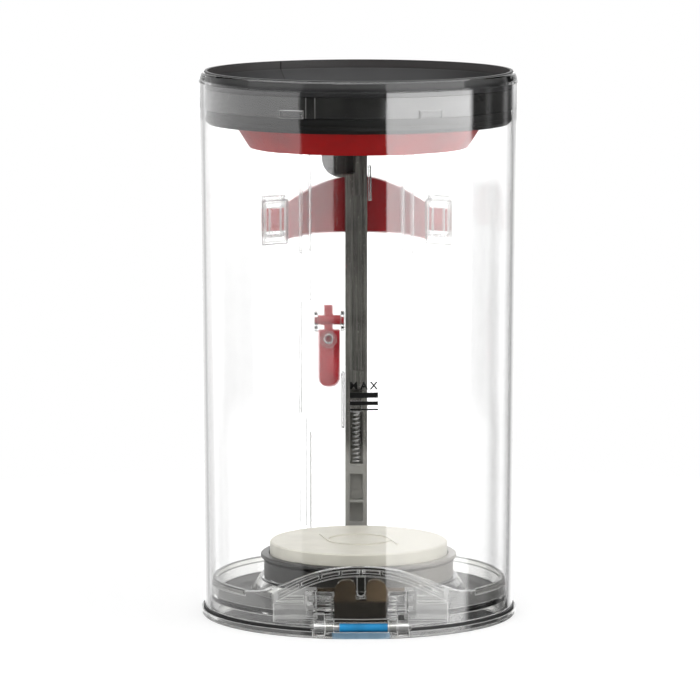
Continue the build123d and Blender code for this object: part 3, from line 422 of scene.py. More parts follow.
@dataclass(frozen=True)
class ClearMoulding(Finish):
    """Clear moulded plastic with faint flow ripples, handling haze and painted highlights on its
    sharp edges.
    """

    tint: Tone = Tone(255, 255, 255)
    shade: Tone = Tone(250, 250, 250)
    ior: float = 1.49
    haze: float = 0.006
    smudges: Grain = Grain(38 * MM, 3.0, (0.45, 0.75))
    ripples: Grain = Grain(16 * MM, 1.0, stretch=(1.0, 1.0, 0.35))
    ripple_depth: float = 0.0012 * MM
    edge: float = 0.35 * MM
    # Strength of the opaque films: pale ones on sharp edges are painted highlights, dark lines
    # are painted shade.
    film_strength: float = 0.6
    pale_film_tone: Tone = Tone(240, 240, 238)
    film_grain: Grain = Grain(3 * MM, 2.0, (0.3, 0.7))
    film_shares: Span = (0.94, 1.0)
    film_roughness: float = 0.55

    def shader(self, graph: Graph) -> Signal:
        """See-through shader whose haze and ripples vary over the wall.

        Args:
            graph: The material's graph.

        Returns:
            The shader.
        """
        rounded = graph.rounded(self.edge)
        glass = graph.principled(
            {
                "Base Color": self.tint.linear(),
                "Roughness": self.haze + self.haze * self.smudges.value(graph),
                "IOR": self.ior,
                "Transmission Weight": 1.0,
                "Normal": graph.bump(self.relief(graph), 1.0, rounded),
            }
        )
        glass = self.cloud(graph, glass, graph.sharp_edges(rounded))
        return graph.lets_lamps_in(glass, self.shade)

    def relief(self, graph: Graph) -> Signal:
        """Height of the wall's flow ripples, in metres."""
        return self.ripple_depth * self.ripples.value(graph)

    def film(self, graph: Graph, tone: Tone) -> Signal:
        """Thin opaque film, mottled a little, which carries painted highlights and shade."""
        colour = graph.mix(self.film_grain.value(graph), *tone.shades(*self.film_shares))
        return graph.principled({"Base Color": colour, "Roughness": self.film_roughness})

    def cloud(self, graph: Graph, glass: Signal, edges: Signal) -> Signal:
        """The clear shader with a pale film on its sharp edges as painted highlight."""
        return graph.blend(self.film_strength * edges, glass, self.film(graph, self.pale_film_tone))


@dataclass(frozen=True)
class TubeMoulding(ClearMoulding):
    """Clear tube whose far side mirrors less, with a painted shade line at its rim and chipped
    clips with painted outlines and highlight lines.

    Each rear step is a range of heights, at the latch, the saddle and the rod's head, and the
    share of the clearing that is lost above it.
    """

    rear_clearing: float = 0.8
    rear_y: Span = mm(12, 30)
    rear_level: float = 0.97
    rear_steps: tuple[tuple[Span, float], ...] = (
        (mm(60, 85), 0.35),
        (mm(110, 140), 0.15),
        (mm(154, 160), 0.35),
    )
    wall_radius: float = 58.45 * MM
    # Heights of the painted shade line: a dark film on the edges under the rim.
    rim_z: Span = mm(195.0, 197.8)
    rim_painted_shade: Tone = Tone(58, 58, 58)
    clip_middle: Span = mm(31.2, 139.8)
    clip_half: Span = mm(4.7, 8.2)
    clip_steps: Span = mm(0.9, 2.6)
    clip_line: float = 0.3 * MM
    # Painted shade: the tone of the clips' dark outlines.
    clip_painted_shade: Tone = Tone(138, 132, 128)
    chips: Grain = Grain(2.0 * MM, 1.0, (0.42, 0.58))
    chip_depth: float = 0.10 * MM
    soft: float = 0.5 * MM

    def clip(self, graph: Graph) -> Signal:
        """Depth inside the outlines of the two saddle clips, which are on the far wall.

        Args:
            graph: The material's graph.

        Returns:
            The depth in metres, below 0 outside the clips.
        """
        x, y, z = graph.parts()
        side = (x.size() - self.clip_middle[0]).size() - self.clip_half[0]
        rise = (z - self.clip_middle[1]).size() - self.clip_half[1]
        front = (1 - 2 * y.above(0.0)) * self.wall_radius
        return 0 - side.largest(rise).largest(front)

    def relief(self, graph: Graph) -> Signal:
        """Flow ripples, and much deeper ones where the clips hold the saddle."""
        chips = self.chips.value(graph) * graph.smooth(self.clip(graph), 0.0, self.soft)
        return super().relief(graph) + self.chip_depth * chips

    def painted_clip_lines(self, graph: Graph, wall: Signal) -> Signal:
        """The wall with the clips' dark outlines as painted shade and the white lines inside
        them as painted highlights.

        Args:
            graph: The material's graph.
            wall: The wall's shader.

        Returns:
            The mixed shader.
        """
        depth = self.clip(graph)
        # Painted shade outlines each clip, and painted highlight lines run inside it.
        for step in (0.0, *self.clip_steps):
            share = self.film_strength * graph.line(depth - step, self.clip_line)
            tone = self.pale_film_tone if step else self.clip_painted_shade
            wall = graph.blend(share, wall, self.film(graph, tone))
        return wall

    def cloud(self, graph: Graph, glass: Signal, edges: Signal) -> Signal:
        """The wall with a clearer far side, painted highlights on its edges and a painted shade
        line under its rim.

        Args:
            graph: The material's graph.
            glass: The clear shader.
            edges: Mask of the sharp edges.

        Returns:
            The mixed shader.
        """
        _, y, z = graph.parts()
        kept: Value = 1.0
        for heights, lost in self.rear_steps:
            kept = kept - lost * graph.smooth(z, *heights)
        inside = 1 - graph.radius().above(self.wall_radius)
        share = self.rear_clearing * kept * inside * graph.smooth(y, *self.rear_y)
        wall = graph.blend(share, glass, graph.clear(grey(self.rear_level)))
        # Painted shade line on the edges under the rim; painted highlights on the other edges.
        rim = graph.between(z, *self.rim_z, self.soft)
        wall = self.painted_clip_lines(graph, super().cloud(graph, wall, edges * (1 - rim)))
        return graph.blend(self.film_strength * rim * edges, wall, self.film(graph, self.rim_painted_shade))


@dataclass(frozen=True)
class DoorMoulding(ClearMoulding):
    """Clear door with painted shade on its floor, milky panels beside its pocket and a painted
    blue glint below, the sleeve's reflection.
    """

    tint: Tone = Tone(246, 246, 244)
    haze: float = 0.012
    ripple_depth: float = 0.01 * MM
    edge: float = 0.45 * MM
    film_strength: float = 0.85
    # Painted shade: a dark film over the door's floor, where the shaded ground shows through.
    floor_painted_shade: Tone = Tone(54, 53, 51)
    floor_shade_share: float = 0.85
    floor_radius: float = 51.8 * MM
    floor_z: Span = mm(7.4, 9.8)
    floor_front: float = -41.0 * MM
    panel_share: float = 0.36
    panel_x: Span = mm(15.5, 31.5)
    panel_y: Span = mm(-46.0, -41.0)
    panel_z: Span = mm(4.5, 17.0)
    # Painted reflection: a blue glint of the sleeve on the flange below it.
    glint_tone: Tone = Tone(118, 156, 182)
    glint_share: float = 0.55
    glint_half: float = 10.5 * MM
    glint_front: float = -50.0 * MM
    glint_top: float = 2.3 * MM
    soft: float = 0.6 * MM

    def cloud(self, graph: Graph, glass: Signal, edges: Signal) -> Signal:
        """The clear shader with painted shade on its floor, its panels, a painted blue glint and
        painted highlights on its edges.

        Args:
            graph: The material's graph.
            glass: The clear shader.
            edges: Mask of the sharp edges.

        Returns:
            The mixed shader.
        """
        x, y, z = graph.parts()
        floor = graph.between(z, *self.floor_z, self.soft) * y.above(self.floor_front)
        floor = floor * (1 - graph.radius().above(self.floor_radius))
        panel = graph.between(x.size(), *self.panel_x, self.soft)
        panel = panel * graph.between(y, *self.panel_y, self.soft)
        panel = panel * graph.between(z, *self.panel_z, self.soft)
        glint = 1 - graph.smooth(x.size(), self.glint_half - self.soft, self.glint_half)
        glint = glint * (1 - y.above(self.glint_front)) * (1 - z.above(self.glint_top))
        # Painted shade on the floor, the milky panels and the painted blue glint, one after
        # another.
        for share, tone in (
            (self.floor_shade_share * floor, self.floor_painted_shade),
            (self.panel_share * panel, self.pale_film_tone),
            (self.glint_share * glint, self.glint_tone),
        ):
            glass = graph.blend(share, glass, self.film(graph, tone))
        return super().cloud(graph, glass, edges)


@dataclass(frozen=True)
class Satin(Finish):
    """Coloured moulded plastic or rubber with a fine grain and uneven gloss, and where given a
    tone painted towards the right: painted sheen on the cup, painted shade on the funnel.
    """

    tone: Tone
    roughness: float
    mottle: float = 0.12
    mottle_grain: Grain = Grain(9 * MM, 3.0, (0.3, 0.7))
    gloss_spread: float = 0.12
    gloss_grain: Grain = Grain(14 * MM)
    fine_grain: Grain = Grain(0.35 * MM)
    fine_depth: float = 0.004 * MM
    streaks: float = 0.0
    streak_gain: float = 1.5
    streak_grain: Grain = Grain(0.6 * MM, 2.0, (0.42, 0.68), (1.0, 1.0, 0.03))
    specks: float = 0.0
    speck_gain: float = 2.6
    speck_grain: Grain = Grain(0.5 * MM, 1.0, (0.70, 0.76))
    edge: float = 0.2 * MM
    shine: float = 0.35
    # Painted light and shade towards the right: the cup gets a painted sheen, the funnel painted
    # shade.
    right_shading_tone: Tone | None = None
    right_shading_x: Span = mm(-40, 40)

    def colour(self, graph: Graph) -> Signal:
        """The finish's colour with broad mottling, the painted tone towards the right where
        given, and, where it has them, streaks and specks.

        Args:
            graph: The material's graph.

        Returns:
            The colour.
        """
        shades = self.tone.shades(1 - self.mottle, 1 + self.mottle)
        colour = graph.mix(self.mottle_grain.value(graph), *shades)
        # Painted side tone towards the right, mixed in along x.
        if self.right_shading_tone:
            side = graph.smooth(graph.parts()[0], *self.right_shading_x)
            colour = graph.mix(side, colour, self.right_shading_tone.linear())
        for share, gain, grain in (
            (self.streaks, self.streak_gain, self.streak_grain),
            (self.specks, self.speck_gain, self.speck_grain),
        ):
            if share:
                pale = self.tone.scaled(gain).linear()
                colour = graph.mix(share * grain.value(graph), colour, pale)
        return colour

    def relief(self, graph: Graph) -> Signal:
        """Height of the moulded grain, as a share of its depth."""
        return self.fine_grain.value(graph)

    def shader(self, graph: Graph) -> Signal:
        """Opaque shader with grain.

        Args:
            graph: The material's graph.

        Returns:
            The shader.
        """
        rounded = graph.rounded(self.edge)
        return graph.principled(
            {
                "Base Color": self.colour(graph),
                "Roughness": self.gloss_grain.swing(graph, self.roughness, self.gloss_spread),
                "Specular IOR Level": self.shine,
                "Normal": graph.bump(self.relief(graph), self.fine_depth, rounded),
            }
        )


@dataclass(frozen=True)
class FunnelRubber(Satin):
    """Black funnel rubber, with painted shade to its right and a painted highlight on its lip,
    and the line that its mould left on one side.
    """

    # Painted shade: the funnel turns darker towards its right.
    right_shading_tone: Tone = Tone(24, 24, 25)
    # Painted highlight: the paler tone of the lip.
    lip_highlight_tone: Tone = Tone(68, 68, 68)
    lip_z: Span = mm(196.6, 198.2)
    outside: Tone = Tone(13, 13, 11)
    outside_radius: float = 53.6 * MM
    outside_top: float = 187.2 * MM
    seam_angle: float = math.radians(121)
    seam_half: float = 0.4 * MM
    seam_core: float = 0.4
    seam_shade: float = 0.25
    seam_depth: float = 12.0

    def seam(self, graph: Graph) -> Signal:
        """Mask of the mould's line, which lies in a plane through the axis.

        Args:
            graph: The material's graph.

        Returns:
            The mask.
        """
        x, y, _ = graph.parts()
        off = x * math.sin(self.seam_angle) - y * math.cos(self.seam_angle)
        ahead = x * math.cos(self.seam_angle) + y * math.sin(self.seam_angle)
        return ahead.above(0.0) * graph.line(off, self.seam_half, self.seam_core)

    def colour(self, graph: Graph) -> Signal:
        """Mottled rubber with painted shade to the right, a painted highlight that makes the lip
        paler, and darkest outside.

        Args:
            graph: The material's graph.

        Returns:
            The colour.
        """
        _, _, z = graph.parts()
        # Painted highlight on the lip.
        lip = graph.smooth(z, *self.lip_z)
        colour = graph.mix(lip, super().colour(graph), self.lip_highlight_tone.linear())
        outer = graph.radius().above(self.outside_radius) * (1 - z.above(self.outside_top))
        colour = graph.mix(outer, colour, self.outside.linear())
        return graph.mix(self.seam(graph), colour, self.tone.scaled(self.seam_shade).linear())

    def relief(self, graph: Graph) -> Signal:
        """Grain, with the seam sunk into it."""
        return super().relief(graph) - self.seam_depth * self.seam(graph)


@dataclass(frozen=True)
class CarrierPlastic(Satin):
    """Glossy black carrier with fine pale upright lines painted on its front as highlights."""

    shine: float = 0.42
    # Painted highlights: pale upright lines, on the front only.
    highlight_lines_x: Point = mm(-19.4, -16.2, 17.2)
    highlight_half: float = 0.22 * MM
    highlight_tone: Tone = Tone(150, 150, 148)
    highlight_share: float = 0.5

    def colour(self, graph: Graph) -> Signal:
        """Mottled black with paler lines, which are painted highlights.

        Args:
            graph: The material's graph.

        Returns:
            The colour.
        """
        x, y, _ = graph.parts()
        colour = super().colour(graph)
        # Painted highlight lines, only where the carrier faces the front.
        for place in self.highlight_lines_x:
            line = graph.line(x - place, self.highlight_half) * (1 - y.above(0.0))
            colour = graph.mix(self.highlight_share * line, colour, self.highlight_tone.linear())
        return colour


@dataclass(frozen=True)
class RodPlastic(Satin):
    """Dark speckled rod, nearly black at its head, with painted light making it paler grey at
    its pockets.
    """

    specks: float = 0.5
    streaks: float = 0.5
    head_tone: Tone = Tone(40, 37, 34)
    head_share: float = 0.85
    head_z: Span = mm(156.2, 157.2)
    head_x: float = -1.2 * MM
    # Painted light: a paler grey on the rod's foot that lifts the shade in its pockets.
    foot_painted_light: Tone = Tone(168, 167, 161)
    foot_light_share: float = 0.8
    foot_z: Span = mm(48, 56)

    def colour(self, graph: Graph) -> Signal:
        """Speckled grey with a dark head and painted light on its foot.

        Args:
            graph: The material's graph.

        Returns:
            The colour.
        """
        x, _, z = graph.parts()
        head = self.head_share * graph.smooth(z, *self.head_z) * (1 - x.above(self.head_x))
        colour = graph.mix(head, super().colour(graph), self.head_tone.linear())
        # Painted light on the foot.
        foot = self.foot_light_share * (1 - graph.smooth(z, *self.foot_z))
        return graph.mix(foot, colour, self.foot_painted_light.linear())


@dataclass(frozen=True)
class SmokedMoulding(Finish):
    """Tinted see-through plastic, cloudy where it is thick, with painted light making it paler
    to the right.
    """

    tone: Tone = Tone(112, 97, 78)
    foot: Tone = Tone(75, 71, 64)
    step_z: Span = mm(12.6, 13.6)
    # Painted light: the shield turns paler towards its right.
    lit_side_x: Span = mm(-6, 8)
    lit_side_shares: Span = (0.86, 1.35)
    cloud_grain: Grain = Grain(6 * MM, 2.0, (0.35, 0.7))
    cloud_share: float = 0.3
    haze: float = 0.12
    haze_spread: float = 0.06
    ior: float = 1.5
    see_through: float = 0.6

    def shader(self, graph: Graph) -> Signal:
        """Tinted see-through shader with cloudy patches, painted light to the right and a darker
        foot.

        Args:
            graph: The material's graph.

        Returns:
            The shader.
        """
        cloud = self.cloud_grain.value(graph)
        x, _, z = graph.parts()
        # Painted light towards the right.
        lobes = graph.mix(graph.smooth(x, *self.lit_side_x), *self.tone.shades(*self.lit_side_shares))
        lobes = graph.mix(self.cloud_share * cloud, lobes, self.tone.linear())
        above = graph.smooth(z, *self.step_z)
        glass = graph.principled(
            {
                "Base Color": graph.mix(above, self.foot.linear(), lobes),
                "Roughness": self.haze + self.haze_spread * cloud,
                "IOR": self.ior,
                "Transmission Weight": self.see_through,
            }
        )
        return graph.lets_lamps_in(glass, self.tone)


@dataclass(frozen=True)
class Streaked(Finish):
    """Metal or ink whose colour and gloss follow one grain."""

    tone: Tone
    shares: Span
    grain: Grain
    roughness: float
    gloss_spread: float
    metal: float = 0.0
    shine: float = 0.5

    def shader(self, graph: Graph) -> Signal:
        """Opaque shader with streaks or a broken cover.

        Args:
            graph: The material's graph.

        Returns:
            The shader.
        """
        shades = self.tone.shades(*self.shares)
        return graph.principled(
            {
                "Base Color": graph.mix(self.grain.value(graph), *shades),
                "Metallic": self.metal,
                "Roughness": self.grain.swing(graph, self.roughness, self.gloss_spread),
                "Specular IOR Level": self.shine,
            }
        )


@dataclass(frozen=True)
class StudioFloor(Finish):
    """Pale floor with a soft shadow near the bin, which fades to the white background."""

    shadow_share: float = 0.45
    fade: Span = (0.10, 0.30)
    level: float = 0.9
    lift: float = 1.25

    def shader(self, graph: Graph) -> Signal:
        """Diffuse floor lifted to white where it is lit.

        Args:
            graph: The material's graph.

        Returns:
            The shader.
        """
        near = 1 - graph.smooth(graph.radius(), *self.fade)
        shade = graph.node("ShaderNodeBsdfDiffuse", inputs={"Color": grey(self.level)})
        white = graph.glow(grey(1.0), self.lift)
        return graph.blend(1 - self.shadow_share * near, shade, white)


@dataclass(frozen=True)
class RoomWall(Finish):
    """Wall of the studio round the bin: white behind it, two lit panels, dark elsewhere.

    Each stop is an angle in degrees, counted to the right of the camera, and a brightness.
    A ray has met a mirror where its Glossy Depth is above mirrored_from.
    """

    stops: tuple[Span, ...] = (
        (-180, 1.6), (-169.5, 1.6), (-168, 0.95), (-158, 0.75), (-150, 0.45), (-148, 0.9),
        (-110, 1.25), (-43, 1.6), (-42, 0.012), (18.4, 0.012), (19.2, 5.3), (86, 5.3),
        (88, 0.02), (101, 0.02), (106, 0.35), (111, 0.02), (126, 0.04), (131, 0.5),
        (136, 0.05), (146, 0.05), (150, 0.50), (157, 0.80), (162, 1.20), (167, 1.6),
        (180, 1.6),
    )
    brightest: float = 8.0
    white_from: float = math.radians(147)
    clear_to: float = math.radians(120)
    clear_level: float = 1.3
    mirrored_from: float = 0.5
    foot_level: float = 0.46
    rise: Span = (-0.24, 0.08)
    top_fade: Span = (0.30, 0.50)

    def shader(self, graph: Graph) -> Signal:
        """Glow by angle and by height, white for what is seen straight through the bin.

        Args:
            graph: The material's graph.

        Returns:
            The shader.
        """
        x, y, z = graph.parts()
        angle = graph.node("ShaderNodeMath", {"operation": "ARCTAN2"}, {0: x, 1: 0 - y})
        stops = [
            (math.radians(degrees) / math.tau + 0.5, grey(strength / self.brightest))
            for degrees, strength in self.stops
        ]
        turned = {"Fac": angle / math.tau + 0.5}
        ramp = graph.node("ShaderNodeValToRGB", {"stops": stops}, turned)
        lit = self.foot_level + (1 - self.foot_level) * graph.smooth(z, *self.rise)
        lit = lit * (1 - graph.smooth(z, *self.top_fade))
        white = angle.size().above(self.white_from)
        colour = graph.mix(white.largest(lit), grey(0.0), ramp)
        straight = 1 - graph.ray("Glossy Depth").above(self.mirrored_from)
        straight = straight * (1 - angle.size().above(self.clear_to))
        colour = graph.mix(straight, colour, grey(self.clear_level / self.brightest))
        return graph.glow(colour, self.brightest)


@dataclass(frozen=True)
class GlowCard(Finish):
    """Evenly lit or shaded card of the studio, a little cloudy."""

    strength: float
    cloud_grain: Grain = Grain(300 * MM, 1.0, (0.3, 0.7))
    levels: Span = (0.85, 1.0)

    def shader(self, graph: Graph) -> Signal:
        """Glow with faint clouds."""
        colour = graph.mix(self.cloud_grain.value(graph), *map(grey, self.levels))
        return graph.glow(colour, self.strength)


STEEL = Streaked(
    "drawn_steel",
    tone=Tone(222, 222, 220),
    shares=(0.85, 1.05),
    grain=Grain(0.25 * MM, stretch=(0.12, 1.0, 1.0)),
    roughness=0.24,
    gloss_spread=0.18,
    metal=0.6,
)


def deselect() -> None:
    """Deselect everything."""
    bpy.ops.object.select_all(action="DESELECT")


def settle(name: str) -> Piece:
    """Name the active object and move its place into its mesh.

    Args:
        name: The piece's name.

    Returns:
        The object.
    """
    piece = bpy.context.object
    piece.name = name
    piece.data.name = name
    bpy.ops.object.transform_apply(location=True, rotation=True, scale=True)
    return piece


def apply_modifier(piece: Piece, kind: str, **settings: Any) -> None:
    """Add a modifier and apply it.

    Args:
        piece: The active object.
        kind: The modifier's type.
        **settings: Its settings.
    """
    modifier = piece.modifiers.new(kind.lower(), kind)
    for name, value in settings.items():
        setattr(modifier, name, value)
    bpy.ops.object.modifier_apply(modifier=modifier.name)


def attach(piece: Piece, body: Body, finish: Finish) -> None:
    """Dress a new piece and let it ride on a body.

    Args:
        piece: The new piece.
        body: Body that it moves with.
        finish: Its finish.
    """
    finish.dress(piece)
    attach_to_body(piece, body.value)
    LOG.info("piece %s rides on %s", piece.name, body.value)


@dataclass(frozen=True)
class CoilSpring:
    """Round-wire compression spring with closed ends that stands for a node of the part."""

    node: str
    axis: Axis
    turns: int
    wire: float = 0.5 * MM
    weld: float = 0.01 * MM
    end_turns: int = 1
    end_pitch: float = 0.52 * MM
    steps: int = 18
    sides: int = 8
    smooth_angle: float = math.radians(60)
    finish: Finish = STEEL

    def _run(self, radius: float, start: float, pitch: float, turns: int) -> Piece:
        """One stretch of coils with an even pitch, made by screwing a round section.

        Args:
            radius: Radius of the wire's middle line.
            start: Height of the stretch's foot.
            pitch: Rise of one turn.
            turns: Number of turns.

        Returns:
            The stretch as an object.
        """
        deselect()
        bpy.ops.mesh.primitive_circle_add(
            vertices=self.sides,
            radius=self.wire / 2,
            location=(radius, 0, start),
            rotation=(math.pi / 2, 0, 0),
        )
        run = settle(self.node + "_run")
        apply_modifier(
            run,
            "SCREW",
            angle=math.tau,
            screw_offset=pitch,
            iterations=turns,
            steps=self.steps,
            render_steps=self.steps,
        )
        return run

    def _joined(self, runs: list[Piece]) -> Piece:
        """Join the stretches into one closed wire.

        Args:
            runs: The stretches, end to end.

        Returns:
            The wire.
        """
        for run in runs:
            run.select_set(True)
        bpy.context.view_layer.objects.active = runs[0]
        bpy.ops.object.join()
        bpy.ops.object.mode_set(mode="EDIT")
        bpy.ops.mesh.select_all(action="SELECT")
        bpy.ops.mesh.remove_doubles(threshold=self.weld)
        bpy.ops.mesh.fill_holes(sides=0)
        bpy.ops.mesh.select_all(action="SELECT")
        bpy.ops.mesh.normals_make_consistent(inside=False)
        bpy.ops.object.mode_set(mode="OBJECT")
        bpy.ops.object.shade_smooth_by_angle(angle=self.smooth_angle)
        return bpy.context.object

    def coil(self) -> Piece:
        """Model the spring in the box of its node.

        Returns:
            The spring, which replaces the node and rides on the bin.
        """
        low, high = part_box(self.node)
        along = list(Axis).index(self.axis)
        span = high - low
        length = span[along]
        radius = (min(span[k] for k in range(3) if k != along) - self.wire) / 2
        foot_z = self.wire / 2
        closed = self.end_turns * self.end_pitch
        pitch = (length - self.wire - 2 * closed) / self.turns
        ends = (self.end_pitch, self.end_turns)
        runs = [
            self._run(radius, foot_z, *ends),
            self._run(radius, foot_z + closed, pitch, self.turns),
            self._run(radius, length - foot_z - closed, *ends),
        ]
        spring = self._joined(runs)
        foot = (low + high) / 2
        foot[along] = low[along]
        spring.rotation_euler = self.axis.value
        spring.location = foot
        settle(self.node + "_wire")
        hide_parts(self.node)
        attach(spring, Body.BIN, self.finish)
        return spring


@dataclass(frozen=True)
class SubAssembly:
    """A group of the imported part's nodes, each with its finish, and its own new pieces."""

    looks: Looks = ()

    def model(self) -> None:
        """Model the group's new pieces, where it has them."""

    def build(self, frame: Frame) -> None:
        """Dress the group's nodes and model its new pieces.
        """
        for name, finish in self.looks:
            finish.dress(frame["nodes"][name])
            LOG.info("node %s dressed as %s", name, finish.name)
        self.model()


@dataclass(frozen=True)
class ClearTube(SubAssembly):
    """Clear tube with its printed fill limit: three letters over three bars."""

    looks: Looks = (("bin_cylinder", TubeMoulding("clear_wall")),)
    ink: Finish = Streaked(
        "fill_ink",
        tone=Tone(12, 12, 12),
        shares=(0.8, 1.3),
        grain=Grain(0.5 * MM),
        roughness=0.6,
        gloss_spread=0.2,
        shine=0.15,
    )
    words: str = "MAX"
    spacing: float = 1.45
    weight: float = 0.02
    left: float = -4.0 * MM
    width: float = 10.0 * MM
    letters_z: Span = mm(90.5, 93.3)
    bars_z: tuple[Span, ...] = (mm(87.5, 89.4), mm(84.85, 86.2), mm(83.0, 83.55))
    bar_cuts: int = 5
    film: float = 0.04 * MM
    lift: float = 0.05 * MM
    stand_off: float = 5 * MM

    def _print(self, tube: Piece, piece: Piece) -> None:
        """Lay a flat mesh onto the tube's front and give it the thickness of a print.

        Args:
            tube: The tube.
            piece: The flat mesh, standing in front of the tube.
        """
        apply_modifier(
            piece,
            "SHRINKWRAP",
            target=tube,
            wrap_method="PROJECT",
            use_project_y=True,
            offset=self.lift,
        )
        apply_modifier(piece, "SOLIDIFY", thickness=self.film, offset=1.0)
        attach(piece, Body.BIN, self.ink)

    def _letters(self, front: float) -> Piece:
        """The letters as a flat mesh that stands in front of the tube.

        Args:
            front: How far forward it stands.

        Returns:
            The mesh's object.
        """
        deselect()
        bpy.ops.object.text_add()
        text = bpy.context.object
        text.data.body = self.words
        text.data.space_character = self.spacing
        text.data.offset = self.weight
        bpy.ops.object.convert(target="MESH")
        letters = settle("fill_mark_letters")
        spots = list(zip(*(vertex.co for vertex in letters.data.vertices)))
        low, high = Vector(map(min, spots)), Vector(map(max, spots))
        wide = self.width / (high.x - low.x)
        tall = (self.letters_z[1] - self.letters_z[0]) / (high.y - low.y)
        letters.scale = (wide, tall, 1.0)
        letters.rotation_euler = (math.pi / 2, 0, 0)
        letters.location = (self.left - low.x * wide, front, self.letters_z[0] - low.y * tall)
        return settle("fill_mark_letters")

    def _bar(self, number: int, front: float) -> Piece:
        """One bar as a flat mesh that stands in front of the tube.

        Args:
            number: Which bar, counted from the top.
            front: How far forward it stands.

        Returns:
            The mesh's object.
        """
        foot, top = self.bars_z[number]
        deselect()
        bpy.ops.mesh.primitive_plane_add(size=1.0)
        bar = bpy.context.object
        bar.scale = (self.width, top - foot, 1.0)
        bar.rotation_euler = (math.pi / 2, 0, 0)
        bar.location = (self.left + self.width / 2, front, (foot + top) / 2)
        settle(f"fill_mark_bar_{number + 1}")
        bpy.ops.object.mode_set(mode="EDIT")
        bpy.ops.mesh.select_all(action="SELECT")
        bpy.ops.mesh.subdivide(number_cuts=self.bar_cuts)
        bpy.ops.object.mode_set(mode="OBJECT")
        return bar

    def build(self, frame: Frame) -> None:
        """Dress the tube and print its fill limit.
        """
        super().build(frame)
        tube = frame["nodes"]["bin_cylinder"]
        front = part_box("bin_cylinder")[0].y - self.stand_off
        self._print(tube, self._letters(front))
        for number in range(len(self.bars_z)):
            self._print(tube, self._bar(number, front))


@dataclass(frozen=True)
class Collar(SubAssembly):
    """Black carrier, soft funnel and red wiper ring in the tube's mouth."""

    looks: Looks = (
        ("collar_carrier", CarrierPlastic("carrier_black", Tone(42, 42, 41), roughness=0.15)),
        ("collar_funnel", FunnelRubber("funnel_black", Tone(36, 36, 37), roughness=0.5)),
        ("wiper_ring", Satin("wiper_red", Tone(176, 5, 8), roughness=0.42, mottle=0.06)),
    )


@dataclass(frozen=True)
class ReleaseTrain(SubAssembly):
    """Release rod with its red strap and its spring, and the catch that it turns."""

    looks: Looks = (
        ("rod_saddle", Satin("saddle_red", Tone(154, 12, 22), roughness=0.35, mottle=0.06)),
        ("release_rod", RodPlastic("rod_grey", Tone(90, 89, 84), roughness=0.45)),
        ("door_catch", Satin("catch_grey", Tone(90, 89, 84), roughness=0.45, specks=0.5)),
        ("catch_pin", STEEL),
    )
    rod_spring: CoilSpring = CoilSpring("rod_spring", Axis.Z, 11)
    catch_spring: CoilSpring = CoilSpring("catch_spring", Axis.X, 5)
    pressed: float = 0.6

    def model(self) -> None:
        """Wind the springs."""
        self.catch_spring.coil()
        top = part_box(self.rod_spring.node)[1]
        spring = self.rod_spring.coil()
        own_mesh(spring)


@dataclass(frozen=True)
class RunnerLatch(SubAssembly):
    """Red rocking latch with the small spring behind its paddle."""

    looks: Looks = (
        ("runner_latch", Satin("latch_red", Tone(176, 20, 34), roughness=0.35, mottle=0.06)),
    )
    spring: CoilSpring = CoilSpring("latch_spring", Axis.Y, 3)
    pressed: float = 0.7

    def model(self) -> None:
        """Wind the spring."""
        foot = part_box(self.spring.node)[0]
        spring = self.spring.coil()
        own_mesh(spring)


@dataclass(frozen=True)
class BaseDoor(SubAssembly):
    """Clear hinged door with its lip seal and its gasket."""

    looks: Looks = (
        ("base_door", DoorMoulding("clear_door")),
        (
            "door_lip_seal",
            ClearMoulding("soft_seal", tint=Tone(240, 240, 236), haze=0.12, ior=1.42),
        ),
        ("base_gasket", Satin("gasket_black", Tone(28, 28, 28), roughness=0.55)),
    )


@dataclass(frozen=True)
class Pedestal(SubAssembly):
    """Dark dust cup with a painted sheen to its right, and the cream sealing disc on it."""

    looks: Looks = (
        (
            "dust_cup",
            Satin(
                "cup_rubber",
                Tone(40, 39, 36),
                roughness=0.36,
                # Painted sheen: the cup turns paler towards its right.
                right_shading_tone=Tone(150, 146, 139),
                right_shading_x=mm(2, 30),
                shine=0.6,
            ),
        ),
        ("seal_disc", Satin("disc_cream", Tone(214, 211, 198), roughness=0.42, mottle=0.02)),
    )


@dataclass(frozen=True)
class Hinge(SubAssembly):
    """Hinge pin with its blue sleeve, smoked shield and two kick springs."""

    looks: Looks = (
        ("hinge_shield", SmokedMoulding("shield_smoked")),
        ("hinge_sleeve", Satin("sleeve_blue", Tone(22, 138, 196), roughness=0.35, mottle=0.08)),
        ("hinge_pin", STEEL),
    )
    kicks: tuple[CoilSpring, ...] = (
        CoilSpring("kick_spring_left", Axis.Z, 6),
        CoilSpring("kick_spring_right", Axis.Z, 6),
    )

    def model(self) -> None:
        """Wind the kick springs."""
        for kick in self.kicks:
            kick.coil()


@dataclass(frozen=True)
class Camera:
    """Camera at the photograph's angle, in metres, radians and picture points."""

    distance: float = 1.820
    eye_height: float = 0.3308
    pitch: float = math.radians(7.31)
    turn: float = math.radians(-0.9)
    focal: float = 4990.0
    centre: float = 358.7
    picture: float = 700.0
    sensor: float = 36.0
    near: float = 50 * MM

    def build(self) -> None:
        """Set up the camera."""
        data = bpy.data.cameras.new("camera")
        data.sensor_width = self.sensor
        data.lens = self.focal / self.picture * self.sensor
        data.shift_x = 0.5 - self.centre / self.picture
        data.clip_start = self.near
        camera = bpy.data.objects.new("camera", data)
        bpy.context.scene.collection.objects.link(camera)
        side, back = math.sin(self.turn), math.cos(self.turn)
        camera.location = (self.distance * side, -self.distance * back, self.eye_height)
        camera.rotation_euler = (math.pi / 2 - self.pitch, 0, self.turn)
        bpy.context.scene.camera = camera


